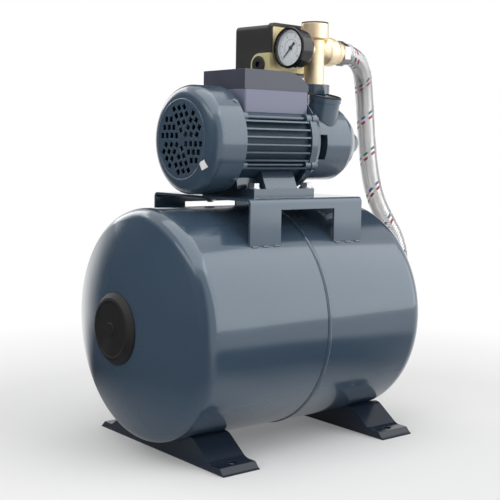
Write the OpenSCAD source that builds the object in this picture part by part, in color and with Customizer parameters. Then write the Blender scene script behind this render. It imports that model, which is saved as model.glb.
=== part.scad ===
// Booster pump set: a peripheral pump and its motor stand on a horizontal membrane tank.
// The pump feeds a brass five-way fitting that carries a gauge and a pressure switch,
// and a braided hose leads from the fitting to the flange at the tank's end.
// X runs along the tank, from the fan end to the hose end. Z is up. The floor is z = 0.

/* [Tank] */
// Outer radius of the tank
tank_r = 137.5; // [130:0.5:145]
// Sheet thickness of the tank
tank_wall = 1.5; // [1:0.1:2.5]
// Length of the left half, from the weld seam to the top of its dome
half_left = 210; // [200:1:230]
// Length of the right half, from the weld seam to the top of its dome
half_right = 192; // [185:1:215]
// Radius of the crown of each dome
crown_r = 280; // [240:1:320]
// Radius of the knuckle between the crown and the cylinder
knuckle_r = 22; // [15:1:30]
// Height of the tank's lowest line above the floor
tank_lift = 14.8; // [12:0.1:20]
// Width of the weld bead at the seam
seam_w = 6; // [4:0.5:10]
// Height of the weld bead
seam_h = 0.7; // [0.3:0.1:1.5]
// Inner radius of the round recess for the air valve
recess_r = 26.5; // [22:0.5:32]
// Depth of that recess below the top of the dome
recess_depth = 18; // [14:0.5:24]
// Radius of the valve's cover cap
cap_r = 41.5; // [36:0.5:46]
// How far the cap's face stands out from the dome
cap_proud = 5; // [4:0.5:9]

/* [Tank flange] */
// Outer radius of the flange and of the ring behind it
flange_r = 72; // [66:0.5:80]
// Radius of the opening that the membrane passes through
mouth_r = 46; // [40:0.5:50]
// Thickness of the ring that is welded into the dome
mouth_t = 10; // [8:0.5:14]
// Thickness of the flange plate
flange_t = 4; // [3:0.5:6]
// Thickness of the membrane's rubber
membrane_t = 2.5; // [1.5:0.1:4]
// Radius of the circle of flange bolts
flange_bolt_pcr = 60; // [56:0.5:62]
// Number of flange bolts
flange_bolts_n = 6; // [4:1:8]
// Distance from the weld seam to the elbow's upright leg
elbow_x = 261; // [255:1:275]
// Outer radius of the elbow
elbow_r = 16; // [15:0.5:19]

/* [Feet] */
// Width of a foot along the tank
foot_w = 51; // [40:1:60]
// Distance between the two feet
foot_pitch = 250; // [220:1:260]
// Shift of the feet from the weld seam
foot_shift = 2.5; // [-5:0.5:8]
// Length of a foot across the tank
foot_span = 260; // [250:1:280]
// Height of a foot's end pad
foot_pad_h = 8; // [6:0.5:12]
// Height of a foot's hump, where it meets the tank
foot_hump_h = 31; // [28:0.5:34]
// Distance from the middle to the top of the hump
foot_hump_y = 67; // [62:0.5:72]
// Slope between the pad and the hump, in degrees
foot_slope = 35; // [28:1:45]
// Radius of the bends at both ends of the slope
foot_bend_r = 16; // [10:1:22]
// Sheet thickness of a foot
foot_t = 2.5; // [1.5:0.1:3.5]
// Diameter of the hole in each pad
foot_hole_d = 10; // [8:0.5:12]
// Distance between the two holes of a foot
foot_hole_span = 224; // [216:1:228]

/* [Platform] */
// Length of the platform along the tank
platform_l = 176; // [165:1:190]
// Width of the platform across the tank
platform_w = 195.5; // [180:0.5:215]
// Height of the platform's top above the tank
platform_rise = 13.2; // [10:0.1:20]
// Sheet thickness of the platform
platform_t = 3; // [2:0.5:4]
// Shift of the platform from the weld seam
platform_shift = -2.5; // [-6:0.5:4]
// Width of each of its legs
leg_w = 46; // [40:1:55]
// Distance from the platform's top to the top of the window between the legs
window_drop = 13; // [10:0.5:20]
// Inside radius of the bend along both edges
bend_r = 3; // [1:0.5:5]

/* [Motor] */
// Height of the shaft above the platform
shaft_h = 66; // [66:0.5:72]
// Length of the finned frame
frame_l = 110; // [104:1:120]
// Distance from the weld seam back to the frame's fan end
frame_back = 70; // [66:1:74]
// Outer radius of the frame's barrel, without its fins
frame_r = 53; // [51:0.5:55]
// Distance from the shaft to the tips of the fins
fin_reach = 63; // [58:0.5:65]
// Spacing of the fins
fin_pitch = 9.3; // [8.5:0.1:10]
// Thickness of a fin
fin_t = 2; // [1.6:0.1:3]
// Height of the highest fin above the shaft
fin_top = 23.5; // [20:0.5:26]
// Number of fins on each side
fin_n = 7; // [5:1:7]
// Outer radius of the stator core
stator_r = 47; // [45:0.5:48]
// Length of the stator core
stator_l = 62; // [50:1:66]
// Outer radius of the rotor core
rotor_r = 28; // [24:0.5:30]
// Radius of the shaft in its bearings
shaft_r = 7.5; // [6.5:0.5:8]
// Outer radius of a bearing
bearing_r = 17.5; // [17:0.5:20]
// Width of a bearing
bearing_w = 11; // [10:0.5:12]

/* [Fan and cover] */
// Outer radius of the fan cover
cover_r = 65; // [64:0.5:70]
// Length of the fan cover
cover_l = 48.5; // [47:0.5:56]
// Wall thickness of the fan cover
cover_wall = 1.6; // [1.2:0.1:2.2]
// Radius of the cover's flat face
cover_face_r = 48.5; // [44:0.5:52]
// Side of a square vent hole
vent_side = 6.5; // [5:0.1:7]
// Spacing of the vent holes
vent_pitch = 9.6; // [9:0.1:10.5]
// Outer radius of the fan
fan_r = 52; // [44:0.5:54]
// Number of fan blades
fan_blades = 7; // [5:1:11]
// Thickness of a fan blade
blade_t = 2; // [1.2:0.1:3]

/* [Terminal box] */
// Length of the terminal box along the motor
box_l = 101; // [92:1:104]
// Width of the terminal box across the motor
box_w = 82; // [74:1:90]
// Height of its lower edge above the shaft
box_low = 33; // [30:0.5:36]
// Height of its rim above the shaft
box_rim = 61; // [58:0.5:66]
// Height of the lid
lid_h = 24; // [18:0.5:30]
// Length of the lid's curved slope at the pump end
lid_slope = 38; // [26:1:42]
// Height of the lid's edge at the foot of that slope
lid_edge = 8; // [7.8:0.1:12]
// Wall thickness of the box and its lid
box_wall = 2.4; // [1.6:0.1:3]

/* [Pump] */
// Outer radius of the pump casing and of the bracket beside it
pump_r = 48.5; // [47:0.5:51]
// Length of the bracket between motor and casing
bracket_l = 38; // [36:1:42]
// Radius of the pump chamber
chamber_r = 39.5; // [38:0.5:40]
// Radius of the impeller
impeller_r = 38.5; // [34:0.5:38.5]
// Thickness of the impeller
impeller_t = 11; // [9:0.5:12]
// Number of impeller vanes
vane_n = 36; // [24:1:40]
// Length of the casing from the bracket to its nose
casing_l = 87; // [82:1:92]
// Radius of the nose
nose_r = 12.5; // [11:0.5:16]
// Distance from the weld seam to the outlet
outlet_x = 90; // [88:0.5:92]
// Height of the outlet's face above the shaft
outlet_h = 74; // [72:0.5:80]
// Outer radius of the two ports
port_r = 20.5; // [19.5:0.5:22]
// Wall radius of the G1 threads
thread_r = 15.15; // [15:0.05:15.3]
// Depth of the G1 threads
thread_l = 16; // [12:1:18]
// Lean of the inlet towards the front, in degrees
inlet_lean = 13; // [11:1:18]
// Height of the inlet's face above the shaft
inlet_h = 58; // [56:0.5:62]
// Distance of the inlet's face in front of the shaft
inlet_y = 32; // [32:0.5:36]
// Depth of the inlet's thread
inlet_thread = 12; // [10:0.5:13]
// Distance of the inlet behind the outlet, along the shaft
inlet_back = 9.5; // [6:0.5:10]

/* [Fitting] */
// Turn of the fitting about the outlet, in degrees
fitting_turn = 6; // [0:1:8]
// Outer radius of the fitting's pipe
pipe_r = 13; // [12:0.5:14]
// Inner radius of the fitting's pipe
pipe_bore = 9.5; // [8:0.5:10.5]
// Height of the side ports above the outlet's face
side_h = 44; // [42:0.5:48]
// Height of the fitting above the outlet's face
fitting_h = 78; // [76:0.5:84]
// Height of the collar at its top
collar_h = 19; // [17:0.5:21]
// Outer radius of the collar
collar_r = 17.75; // [17:0.25:19]
// Outer radius of the hose branch
branch_r = 18.5; // [17:0.5:20]
// Length of the hose branch from the pipe's axis
branch_l = 45; // [42:0.5:47]

/* [Gauge] */
// Outer radius of the bezel
bezel_r = 26; // [24:0.5:28]
// Depth of the gauge from its back to its bezel
gauge_depth = 25; // [22:0.5:28]
// Distance from the pipe's axis to the gauge's back
gauge_reach = 25; // [24:0.5:30]
// Radius of the dial
dial_r = 22.5; // [20:0.5:23]

/* [Pressure switch] */
// Distance from the pipe's axis to the front of the switch's base
switch_reach = 26; // [25:0.5:30]
// Length of the switch's cover
switch_l = 100; // [94:1:104]
// Distance from the pipe's axis to the cover's left end
switch_left = 54; // [52:1:58]
// Height of the switch's cover
switch_h = 62; // [58:1:66]
// Depth of the switch's cover
switch_d = 62; // [56:1:70]
// Wall thickness of the switch's cover
switch_wall = 2.2; // [1.6:0.1:3]
// Radius of the edges of the cover
switch_round = 6; // [3:0.5:9]
// Thickness of the base plate
switch_plate = 2; // [1.5:0.1:3]

/* [Hose] */
// Outer radius of the hose
hose_r = 12.5; // [12:0.1:12.5]
// Length of a hose nut
nut_l = 11; // [10:0.5:11]
// Length of a hose ferrule
ferrule_l = 10; // [8:0.5:12]

/* [Fits] */
// Gap between pieces that are pressed, screwed or welded together
seat_gap = 0.05; // [0.03:0.01:0.1]
// Gap between round pieces that slide or turn past each other
slide_gap = 0.3; // [0.25:0.05:0.5]
// Running clearance in the bearings
run_gap = 0.08; // [0.05:0.01:0.1]

/* [Hidden] */
$fn = 64;
eps = 0.01;

paint = [0.33, 0.38, 0.43];
black = [0.12, 0.12, 0.13];
brass = [0.80, 0.66, 0.38];
zinc = [0.78, 0.72, 0.48];
steel = [0.72, 0.73, 0.74];

// Where things stand
seam_x = (half_left + cap_proud - elbow_x - elbow_r) / 2;
tank_z = tank_lift + tank_r;
platform_z = tank_z + tank_r + platform_rise;
motor_z = platform_z + shaft_h;
outlet_z = motor_z + outlet_h;
side_z = outlet_z + side_h;

// Dome of the tank: depth from the knuckle to the apex
function dome_depth(r, crown, knuckle) = crown - sqrt(pow(crown - knuckle, 2) - pow(r - knuckle, 2));
function dome_drop(r) = crown_r - sqrt(crown_r * crown_r - r * r);
function arc(centre, r, from, to, steps = 8) =
    [for (i = [0:steps]) let (a = from + (to - from) * i / steps) centre + r * [cos(a), sin(a)]];

// Frames that the pieces are drawn in
module at_seam() translate([seam_x, 0, 0]) children();
module at_tank() translate([seam_x, 0, tank_z]) children();
module at_motor(x = 0) translate([seam_x + x, 0, motor_z]) children();
module at_fitting() translate([seam_x + outlet_x, 0, outlet_z]) rotate([0, 0, fitting_turn]) children();
// Local x, y and z become Y, Z and X
module to_x() rotate([90, 0, 90]) children();
// Turned piece about X from an outline of [radius, x] points
module turn_x() rotate([0, 90, 0]) rotate_extrude() children();
module tube_x(r_out, r_in, x0, x1) turn_x() translate([r_in, x0]) square([r_out - r_in, x1 - x0]);
module rod_x(r, x0, x1) translate([x0, 0, 0]) rotate([0, 90, 0]) cylinder(r = r, h = x1 - x0);
module hex_x(r, x0, x1) translate([x0, 0, 0]) rotate([0, 90, 0]) cylinder(r = r, h = x1 - x0, $fn = 6);
module ring_of(n, r, turn = 0) for (i = [0:n - 1]) rotate([turn + i * 360 / n, 0, 0])
    translate([0, 0, r]) children();
module both_sides() for (s = [-1, 1]) scale_side(s) children();
module scale_side(s) mirror([0, s < 0 ? 1 : 0, 0]) children();

// Tank

// Half outline of the tank as [radius, distance from the seam]
module half_outline(length, inset) {
    r = tank_r - inset;
    knuckle = knuckle_r - inset;
    crown = crown_r - inset;
    top = length - inset;
    depth = dome_depth(r, crown, knuckle);
    touch_r = (r - knuckle) * crown / (crown - knuckle);
    square([r, top - depth]);
    intersection() {
        translate([r - knuckle, top - depth]) circle(knuckle, $fn = 96);
        square([r, top]);
    }
    intersection() {
        translate([0, top - crown]) circle(crown, $fn = 256);
        square([touch_r, top]);
    }
}

module half_shell(length) difference() {
    half_outline(length, 0);
    half_outline(length, tank_wall);
}

module tank_shell_left() color(paint) at_tank() rotate([0, -90, 0]) rotate_extrude($fn = 180) {
    cup_r = recess_r + tank_wall;
    cup_top = half_left - dome_drop(cup_r) - tank_wall;
    difference() {
        half_shell(half_left);
        translate([0, half_left / 2]) square([cup_r, half_left]);
    }
    translate([recess_r, half_left - recess_depth])
        square([tank_wall, cup_top - half_left + recess_depth]);
    translate([recess_r, cup_top - eps]) square([tank_wall + eps, tank_wall]);
    translate([valve_r + seat_gap, half_left - recess_depth - tank_wall])
        square([cup_r - valve_r - seat_gap, tank_wall]);
    intersection() {
        translate([tank_r, 0]) scale([1, 1]) circle(seam_w / 2);
        translate([tank_r - tank_wall / 2, 0]) square([tank_wall / 2 + seam_h, seam_w / 2]);
    }
}

module tank_shell_right() color(paint) at_tank() rotate([0, 90, 0]) rotate_extrude($fn = 180) {
    difference() {
        half_shell(half_right);
        translate([0, half_right / 2]) square([flange_r + seat_gap, half_right]);
    }
    intersection() {
        translate([tank_r, 0]) circle(seam_w / 2);
        translate([tank_r - tank_wall / 2, 0]) square([tank_wall / 2 + seam_h, seam_w / 2]);
    }
}

// Ring welded into the right dome, its face just outside the dome's opening
mouth_face = half_right - dome_drop(flange_r) + mouth_t / 2;
collar_face = mouth_face + membrane_t;
flange_face = collar_face + flange_t;
flange_bolt_r = 4;

module flange_holes(x0, x1) ring_of(flange_bolts_n, flange_bolt_pcr)
    rod_x(flange_bolt_r + seat_gap, x0, x1);

module mouth_ring() color(paint) at_tank() difference() {
    tube_x(flange_r, mouth_r, mouth_face - mouth_t, mouth_face);
    flange_holes(mouth_face - mouth_t - 1, mouth_face + 1);
}

// Rubber bag that hangs inside the tank from its collar
bag_r = mouth_r - seat_gap;
bag_l = 240;
bag_swell = 78;

module bag_half(inset) {
    r = bag_swell - inset;
    low = mouth_face - bag_l + bag_swell;
    high = mouth_face - bag_swell;
    intersection() {
        union() {
            translate([0, low]) circle(r, $fn = 96);
            translate([0, high]) circle(r, $fn = 96);
            translate([0, low]) square([r, high - low]);
            translate([0, high]) square([bag_r - inset, mouth_face - high + eps]);
        }
        translate([0, mouth_face - bag_l]) square([tank_r, bag_l + eps]);
    }
}

module membrane() color([0.08, 0.08, 0.08]) at_tank() difference() {
    turn_x() {
        difference() {
            bag_half(0);
            bag_half(membrane_t);
        }
        translate([bag_r - membrane_t, mouth_face]) square([flange_r - bag_r + membrane_t, membrane_t]);
    }
    flange_holes(mouth_face - 1, collar_face + 1);
}

socket_r = 21;
socket_l = 18;

module tank_flange() color(steel) at_tank() difference() {
    turn_x() {
        translate([thread_r, collar_face]) square([flange_r - thread_r, flange_t]);
        translate([thread_r, flange_face - eps]) square([socket_r - thread_r, socket_l]);
    }
    flange_holes(collar_face - 1, flange_face + 1);
}

bolt_head_r = 7.4;
bolt_head_t = 5.3;

module flange_bolts() color(steel) at_tank() ring_of(flange_bolts_n, flange_bolt_pcr) {
    rod_x(flange_bolt_r, mouth_face - mouth_t, flange_face + 1);
    hex_x(bolt_head_r, flange_face + 2 * eps, flange_face + bolt_head_t);
}

// Brass elbow: a level leg screwed into the flange and an upright leg for the hose
elbow_up = 30;
elbow_bore = 11;

module tank_elbow() color(brass) at_tank() translate([elbow_x, 0, 0]) difference() {
    union() {
        sphere(elbow_r - 0.5);
        cylinder(r = elbow_r - 1.5, h = elbow_up);
        translate([0, 0, elbow_up - 9]) cylinder(r = elbow_r, h = 5);
        rod_x(elbow_r - 1.5, flange_face + socket_l - elbow_x, 0);
        rod_x(thread_r - seat_gap, flange_face + 2 - elbow_x, 0);
        hex_x(elbow_r + 3, flange_face + socket_l - elbow_x, flange_face + socket_l + 10 - elbow_x);
    }
    cylinder(r = elbow_bore, h = elbow_up + 1);
    rod_x(elbow_bore, flange_face - elbow_x, 0);
}

// Air valve in the recess of the left dome
valve_r = 5;
valve_floor = half_left - recess_depth;

module air_valve() color(brass) at_tank() mirror([1, 0, 0]) difference() {
    union() {
        rod_x(valve_r, valve_floor - 10, valve_floor + 9);
        rod_x(valve_r - 1, valve_floor + 8, valve_floor + 14);
        hex_x(valve_r + 4, valve_floor, valve_floor + 4);
        hex_x(valve_r + 4, valve_floor - tank_wall - 4, valve_floor - tank_wall);
    }
    rod_x(valve_r - 2.2, valve_floor - 11, valve_floor + 15);
}

// Push-in cap: a dished face on a skirt that plugs the recess
cap_face = half_left + cap_proud;
cap_rim = 2.2;
cap_wall = 2;
cap_lip_r = 33;
skirt_l = 7;

module air_valve_cap() color(black) at_tank() rotate([0, -90, 0]) rotate_extrude($fn = 128)
    difference() {
    union() {
        polygon([[0, half_left - dome_drop(cap_r)], [cap_r, half_left - dome_drop(cap_r)],
            [cap_r, half_left - dome_drop(cap_r) + cap_rim], [cap_lip_r + 3, cap_face - 1],
                [cap_lip_r, cap_face],
            [cap_lip_r - 2, cap_face - 0.8], [8, cap_face - 0.8], [7, cap_face], [0, cap_face]]);
        translate([0, half_left - skirt_l]) square([recess_r - slide_gap, skirt_l]);
    }
    intersection() {
        translate([0, half_left - crown_r]) circle(crown_r + slide_gap, $fn = 256);
        translate([recess_r - slide_gap, 0]) square([cap_r, half_left]);
    }
    translate([0, half_left - skirt_l - 1])
        square([recess_r - slide_gap - cap_wall, skirt_l + cap_proud - cap_wall]);
}

// Feet

// Outline of half a foot as [y, z] points, drawn in from its outer face by inset
foot_end = foot_span / 2;
foot_pad_y = foot_hump_y + 2 * foot_bend_r * sin(foot_slope)
    + (foot_hump_h - foot_pad_h - 2 * foot_bend_r * (1 - cos(foot_slope))) / tan(foot_slope);
foot_lip = 1.5;

function foot_points(inset) = concat(
    [[0, 0], [foot_end - foot_lip - inset, 0]],
    inset > 0 ? [] : [[foot_end, 0], [foot_end, foot_lip]],
    [[foot_end - foot_lip - inset * 1.4, foot_lip],
        [foot_end - foot_pad_h - inset, foot_pad_h - inset]],
    arc([foot_pad_y, foot_pad_h + foot_bend_r], foot_bend_r + inset, 270, 270 - foot_slope),
    arc([foot_hump_y, foot_hump_h - foot_bend_r], foot_bend_r - inset, 90 - foot_slope, 90),
    [[0, foot_hump_h - inset]]);

module foot_half(inset) difference() {
    polygon(foot_points(inset));
    translate([0, tank_z]) circle(tank_r + seat_gap + inset, $fn = 180);
}

module foot_side(inset) {
    foot_half(inset);
    mirror([1, 0]) foot_half(inset);
}

module foot(x) color(paint) at_seam() translate([x, 0, 0]) difference() {
    translate([-foot_w / 2, 0, 0]) to_x() linear_extrude(foot_w) foot_side(0);
    translate([foot_t - foot_w / 2, 0, -eps]) to_x() linear_extrude(foot_w - 2 * foot_t)
        foot_side(foot_t);
    both_sides() translate([0, foot_hole_span / 2, 0]) cylinder(d = foot_hole_d, h = 2 * foot_pad_h);
}

module foot_left() foot(foot_shift - foot_pitch / 2);
module foot_right() foot(foot_shift + foot_pitch / 2);

// Platform

// Cross-section of the bent sheet as [y, z] points from the middle to a leg
module platform_section() {
    half = platform_w / 2;
    outer = bend_r + platform_t;
    low = tank_z;
    for (s = [0, 1]) mirror([s, 0]) {
        translate([0, platform_z - platform_t]) square([half - outer, platform_t]);
        translate([half - platform_t, low]) square([platform_t, platform_z - outer - low]);
        intersection() {
            translate([half - outer, platform_z - outer]) difference() {
                circle(outer);
                circle(bend_r);
            }
            translate([half - outer, platform_z - outer]) square(outer);
        }
    }
}

foot_plate_x = -0.5;
foot_bolt_x = 42;
foot_bolt_y = 43;
foot_bolt_r = 4;

module at_foot_bolts() for (x = [-1, 1], y = [-1, 1])
    at_seam() translate([foot_plate_x + x * foot_bolt_x, y * foot_bolt_y, platform_z]) children();

module platform() color(paint) difference() {
    at_seam() translate([platform_shift - platform_l / 2, 0, 0]) to_x() linear_extrude(platform_l)
        difference() {
        platform_section();
        translate([0, tank_z]) circle(tank_r + seat_gap, $fn = 180);
    }
    at_seam() translate([platform_shift - platform_l / 2 + leg_w, -platform_w, 0])
        cube([platform_l - 2 * leg_w, 2 * platform_w, platform_z - window_drop]);
    at_foot_bolts() translate([0, 0, -2 * platform_t])
        cylinder(r = foot_bolt_r + seat_gap, h = 3 * platform_t);
}

// Motor
frame_x = -frame_back;
frame_end = frame_x + frame_l;
frame_bore = stator_r + seat_gap;
box_x = frame_x + 13.5;
foot_plate_l = 96;
foot_plate_w = 104;
foot_plate_t = 9;
pedestal_l = 50;
pedestal_x = -28.5;
pedestal_top = 40;
pedestal_low = 50;
pedestal_h = platform_z + 30 - motor_z;

// Level fins on both sides of the barrel
module fin_section() intersection() {
    circle(fin_reach, $fn = 128);
    for (i = [0:fin_n - 1]) translate([-fin_reach, fin_top - i * fin_pitch - fin_t / 2])
        square([2 * fin_reach, fin_t]);
}

tie_y = 48.5;
tie_z = 28;
tie_boss = 6;
tie_r = 2.5;
tie_lug = 9;
end_ring = 4;
end_groove = 5;

// Frame: a barrel with fins, lugs for the tie bolts and a ring at the pump end
module motor_frame() color(paint) at_motor(frame_x) difference() {
    union() {
        rod_x(frame_r, 0, frame_l);
        to_x() linear_extrude(frame_l - end_groove - end_ring) fin_section();
        difference() {
            rod_x(bracket_flange_r, frame_l - end_ring, frame_l);
            translate([frame_l - 2 * end_ring, -2 * frame_r, box_low - slide_gap])
                cube([3 * end_ring, 4 * frame_r, 2 * frame_r]);
        }
        for (s = [-1, 1], v = [-1, 1]) translate([0, s * tie_y, v * tie_z]) {
            rod_x(tie_boss, 0, tie_lug);
            rod_x(tie_boss, frame_l - tie_lug, frame_l);
        }
    }
    rod_x(frame_bore, -1, frame_l + 1);
    tie_holes(-1, frame_l + 1);
}

// Foot of the motor: a plate with a pedestal that cradles the barrel, and a narrower saddle along it
saddle_start = 12;
saddle_less = 30;
saddle_low = pedestal_top - 8;
saddle_top = pedestal_top - 12;
module motor_foot() color(paint) {
    difference() {
        union() {
            at_seam() translate([foot_plate_x - foot_plate_l / 2, -foot_plate_w / 2, platform_z])
                cube([foot_plate_l, foot_plate_w, foot_plate_t]);
            at_motor(pedestal_x) to_x() linear_extrude(pedestal_l) polygon([
                [-pedestal_low, foot_plate_t - shaft_h - eps],
                    [pedestal_low, foot_plate_t - shaft_h - eps],
                [pedestal_top, pedestal_h - seat_gap], [-pedestal_top, pedestal_h - seat_gap]]);
            at_motor(frame_x + saddle_start) to_x() linear_extrude(frame_l - saddle_less) polygon([
                [-saddle_low, foot_plate_t - shaft_h - eps], [saddle_low, foot_plate_t - shaft_h - eps],
                [saddle_top, pedestal_h - seat_gap], [-saddle_top, pedestal_h - seat_gap]]);
        }
        at_motor(frame_x - 1) rod_x(frame_r + seat_gap, 0, frame_l + 2);
        at_motor(frame_end - end_ring - slide_gap) rod_x(bracket_flange_r + slide_gap, 0, foot_plate_l);
        at_foot_bolts() cylinder(r = foot_bolt_r + seat_gap, h = 2 * foot_plate_t);
        at_seam() translate([pedestal_x + 4, -pedestal_top + 4, platform_z - eps])
            cube([pedestal_l - 8, 2 * pedestal_top - 8, foot_plate_t - 2]);
    }
}

module foot_bolts() color(steel) at_foot_bolts() {
    translate([0, 0, -platform_t - 8]) cylinder(r = foot_bolt_r, h = platform_t + 8 + foot_plate_t);
    translate([0, 0, foot_plate_t]) cylinder(r = bolt_head_r + 1.2, h = 1.5);
    translate([0, 0, foot_plate_t + 1.5]) cylinder(r = bolt_head_r, h = bolt_head_t, $fn = 6);
    translate([0, 0, -platform_t - 6]) cylinder(r = bolt_head_r, h = 6, $fn = 6);
}

// Stator, rotor and shaft
stator_x = frame_x + 24;
slot_n = 24;
rotor_gap = 0.4;
winding_l = 13;

module stator_core() color([0.45, 0.46, 0.48]) at_motor(stator_x) to_x() linear_extrude(stator_l)
    difference() {
    circle(stator_r, $fn = 128);
    circle(rotor_r + rotor_gap, $fn = 128);
    for (i = [0:slot_n - 1]) rotate(i * 360 / slot_n) translate([rotor_r + 2.5, -1.6])
        square([9.5, 3.2]);
}

module stator_winding() color([0.62, 0.33, 0.16]) at_motor(stator_x) for (x0 = [-winding_l, stator_l])
    turn_x() translate([rotor_r + 4, x0]) {
        square([10, winding_l]);
        translate([10, 1]) square([2, winding_l - 2]);
    }

module rotor_core() color([0.50, 0.51, 0.53]) at_motor(stator_x) {
    tube_x(rotor_r, shaft_r + 1 + seat_gap, 0, stator_l);
    tube_x(rotor_r - 2, shaft_r + 4, -7, 0);
    tube_x(rotor_r - 2, shaft_r + 4, stator_l, stator_l + 7);
}

rear_bearing_x = frame_x - 9;
front_bearing_x = frame_end + 4;
fan_x = frame_x - 37;
fan_l = 19;
fan_seat_r = shaft_r - 1;
pump_seat_r = shaft_r - 1.5;
bracket_end = frame_end + bracket_l;
impeller_x = bracket_end + 8;
impeller_end = impeller_x + impeller_t;

module motor_shaft() color(steel) at_motor() turn_x() {
    translate([0, fan_x - 3]) square([fan_seat_r, rear_bearing_x - fan_x + 3 + eps]);
    translate([0, rear_bearing_x]) square([shaft_r, bearing_w + eps]);
    translate([0, rear_bearing_x + bearing_w])
        square([shaft_r + 1, front_bearing_x - rear_bearing_x - bearing_w]);
    translate([0, front_bearing_x - eps]) square([shaft_r, seal_x - front_bearing_x]);
    translate([0, seal_x - 2 * eps]) square([pump_seat_r, impeller_end + 3 - seal_x]);
}

// Ball bearings: rings with round grooves and a row of balls
ball_r = 2.98;
race_r = (shaft_r + bearing_r) / 2;
ball_n = 7;

module bearings() for (x = [rear_bearing_x, front_bearing_x]) at_motor(x) children();

module race() translate([race_r, bearing_w / 2]) circle(ball_r + run_gap);

module bearing_outer_rings() color(steel) bearings() turn_x() difference() {
    translate([race_r + 1.9, 0]) square([bearing_r - race_r - 1.9, bearing_w]);
    race();
}

module bearing_inner_rings() color(steel) bearings() turn_x() difference() {
    translate([shaft_r + seat_gap, 0]) square([race_r - 1.9 - shaft_r - seat_gap, bearing_w]);
    race();
}

module bearing_balls() color([0.85, 0.85, 0.86]) bearings() translate([bearing_w / 2, 0, 0])
    ring_of(ball_n, race_r) sphere(ball_r, $fn = 32);

// Rear shield: closes the frame, holds the rear bearing and carries the fan cover
shield_t = 8;
shield_r = cover_r - cover_wall - slide_gap;

module rear_shield() color(paint) at_motor() difference() {
    turn_x() {
        translate([bearing_r + seat_gap, frame_x - shield_t])
            square([shield_r - bearing_r - seat_gap, shield_t]);
        translate([stator_r - 6, frame_x - eps]) square([6 - slide_gap, 5]);
        translate([bearing_r + seat_gap, rear_bearing_x - 2]) square([5, bearing_w + 3]);
        translate([fan_seat_r + 2, rear_bearing_x - 2])
            square([bearing_r + seat_gap - fan_seat_r - 1, 1.8]);
    }
    tie_holes(frame_x - shield_t - 1, frame_x + 1);
    cover_screw_holes();
}

module tie_holes(x0, x1) for (s = [-1, 1], v = [-1, 1]) translate([0, s * tie_y, v * tie_z])
    rod_x(tie_r + seat_gap, x0, x1);

screw_r = 2;
screw_depth = 8;
cover_screw_n = 4;
cover_screw_x = frame_x - shield_t / 2;

module at_cover_screws() translate([cover_screw_x, 0, 0]) ring_of(cover_screw_n, 0, 45) children();
module cover_screw_holes() at_cover_screws() translate([0, 0, shield_r - screw_depth - seat_gap])
    cylinder(r = screw_r + seat_gap, h = 2 * screw_depth);

// Pan-headed screws: the head is a flat disc cut from a ball
screw_head_r = 3.6;
screw_head_h = 2;
screw_ball_r = 5;
module cover_screws() color(steel) at_motor() at_cover_screws() {
    translate([0, 0, shield_r - screw_depth])
        cylinder(r = screw_r, h = cover_r - shield_r + screw_depth);
    intersection() {
        translate([0, 0, cover_r]) cylinder(r = screw_head_r, h = screw_head_h);
        translate([0, 0, cover_r + screw_head_h - screw_ball_r]) sphere(screw_ball_r);
    }
}

// Fan: a hub, a back plate and straight blades that reach into both
fan_hub_r = 12;
blade_root = fan_hub_r - 1;
fan_plate_r = fan_r - 6;
fan_plate_t = 2.5;
blade_step = 2;
module cooling_fan() color(black) at_motor(fan_x) {
    tube_x(fan_hub_r, fan_seat_r + seat_gap, 0, fan_l);
    tube_x(fan_plate_r, blade_root, fan_l - fan_plate_t, fan_l);
    for (i = [0:fan_blades - 1]) rotate([i * 360 / fan_blades, 0, 0])
        translate([0, -blade_t / 2, blade_root])
            cube([fan_l - blade_step, blade_t, fan_r - blade_root]);
}

// Fan cover: a drawn shell with a round shoulder and a flat, perforated face
shoulder_r = cover_r - cover_face_r;
bead_r = 1.2;
face_rim = 3;

// Outline of the cover as radius and distance from the frame
module cover_outline(inset) {
    square([cover_face_r, cover_l - inset]);
    square([cover_r - inset, cover_l - shoulder_r]);
    intersection() {
        translate([cover_face_r, cover_l - shoulder_r]) circle(shoulder_r - inset);
        translate([cover_face_r, cover_l - shoulder_r]) square(shoulder_r);
    }
}

// Six sectors of square holes, in rows along one side of each sector
vent_room = cover_face_r - face_rim - vent_side * 0.72;
vent_edge = vent_side * 0.93;

module vents() for (i = [0:5]) rotate(i * 60) for (row = [0:3]) {
    y = (row + 0.5) * vent_pitch;
    first = (y * cos(60) + vent_edge) / sin(60);
    for (k = [0:3]) if (norm([first + k * vent_pitch, y]) < vent_room)
        translate([first + k * vent_pitch, y]) square(vent_side, center = true);
}

module fan_cover() color(paint) at_motor(frame_x) mirror([1, 0, 0]) {
    difference() {
        turn_x() {
            difference() {
                cover_outline(0);
                translate([0, -eps]) cover_outline(cover_wall);
                translate([0, cover_l / 2]) square([cover_face_r - face_rim, cover_l]);
            }
            translate([cover_face_r - bead_r, cover_l - bead_r / 2]) circle(bead_r);
        }
        mirror([1, 0, 0]) translate([-frame_x, 0, 0]) cover_screw_holes();
    }
    translate([cover_l - cover_wall, 0, 0]) to_x() linear_extrude(cover_wall) difference() {
        circle(cover_face_r - face_rim + 0.5, $fn = 128);
        vents();
    }
}

module tie_bolts() color(steel) at_motor() for (s = [-1, 1], v = [-1, 1])
    translate([0, s * tie_y, v * tie_z]) {
    rod_x(tie_r, frame_x - shield_t, frame_end + lug_t);
    hex_x(4.6, frame_end + lug_t, frame_end + lug_t + 4);
    hex_x(4.6, frame_x - shield_t - 4, frame_x - shield_t);
}

// Terminal box
box_mid = box_x + box_l / 2;
box_corner = 3;
lid_top = box_rim + lid_h;

module rounded_plan(l, w, r) {
    square([l, w - 2 * r], center = true);
    square([l - 2 * r, w], center = true);
    for (x = [-1, 1], y = [-1, 1]) translate([x * (l / 2 - r), y * (w / 2 - r)]) circle(r);
}

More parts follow.
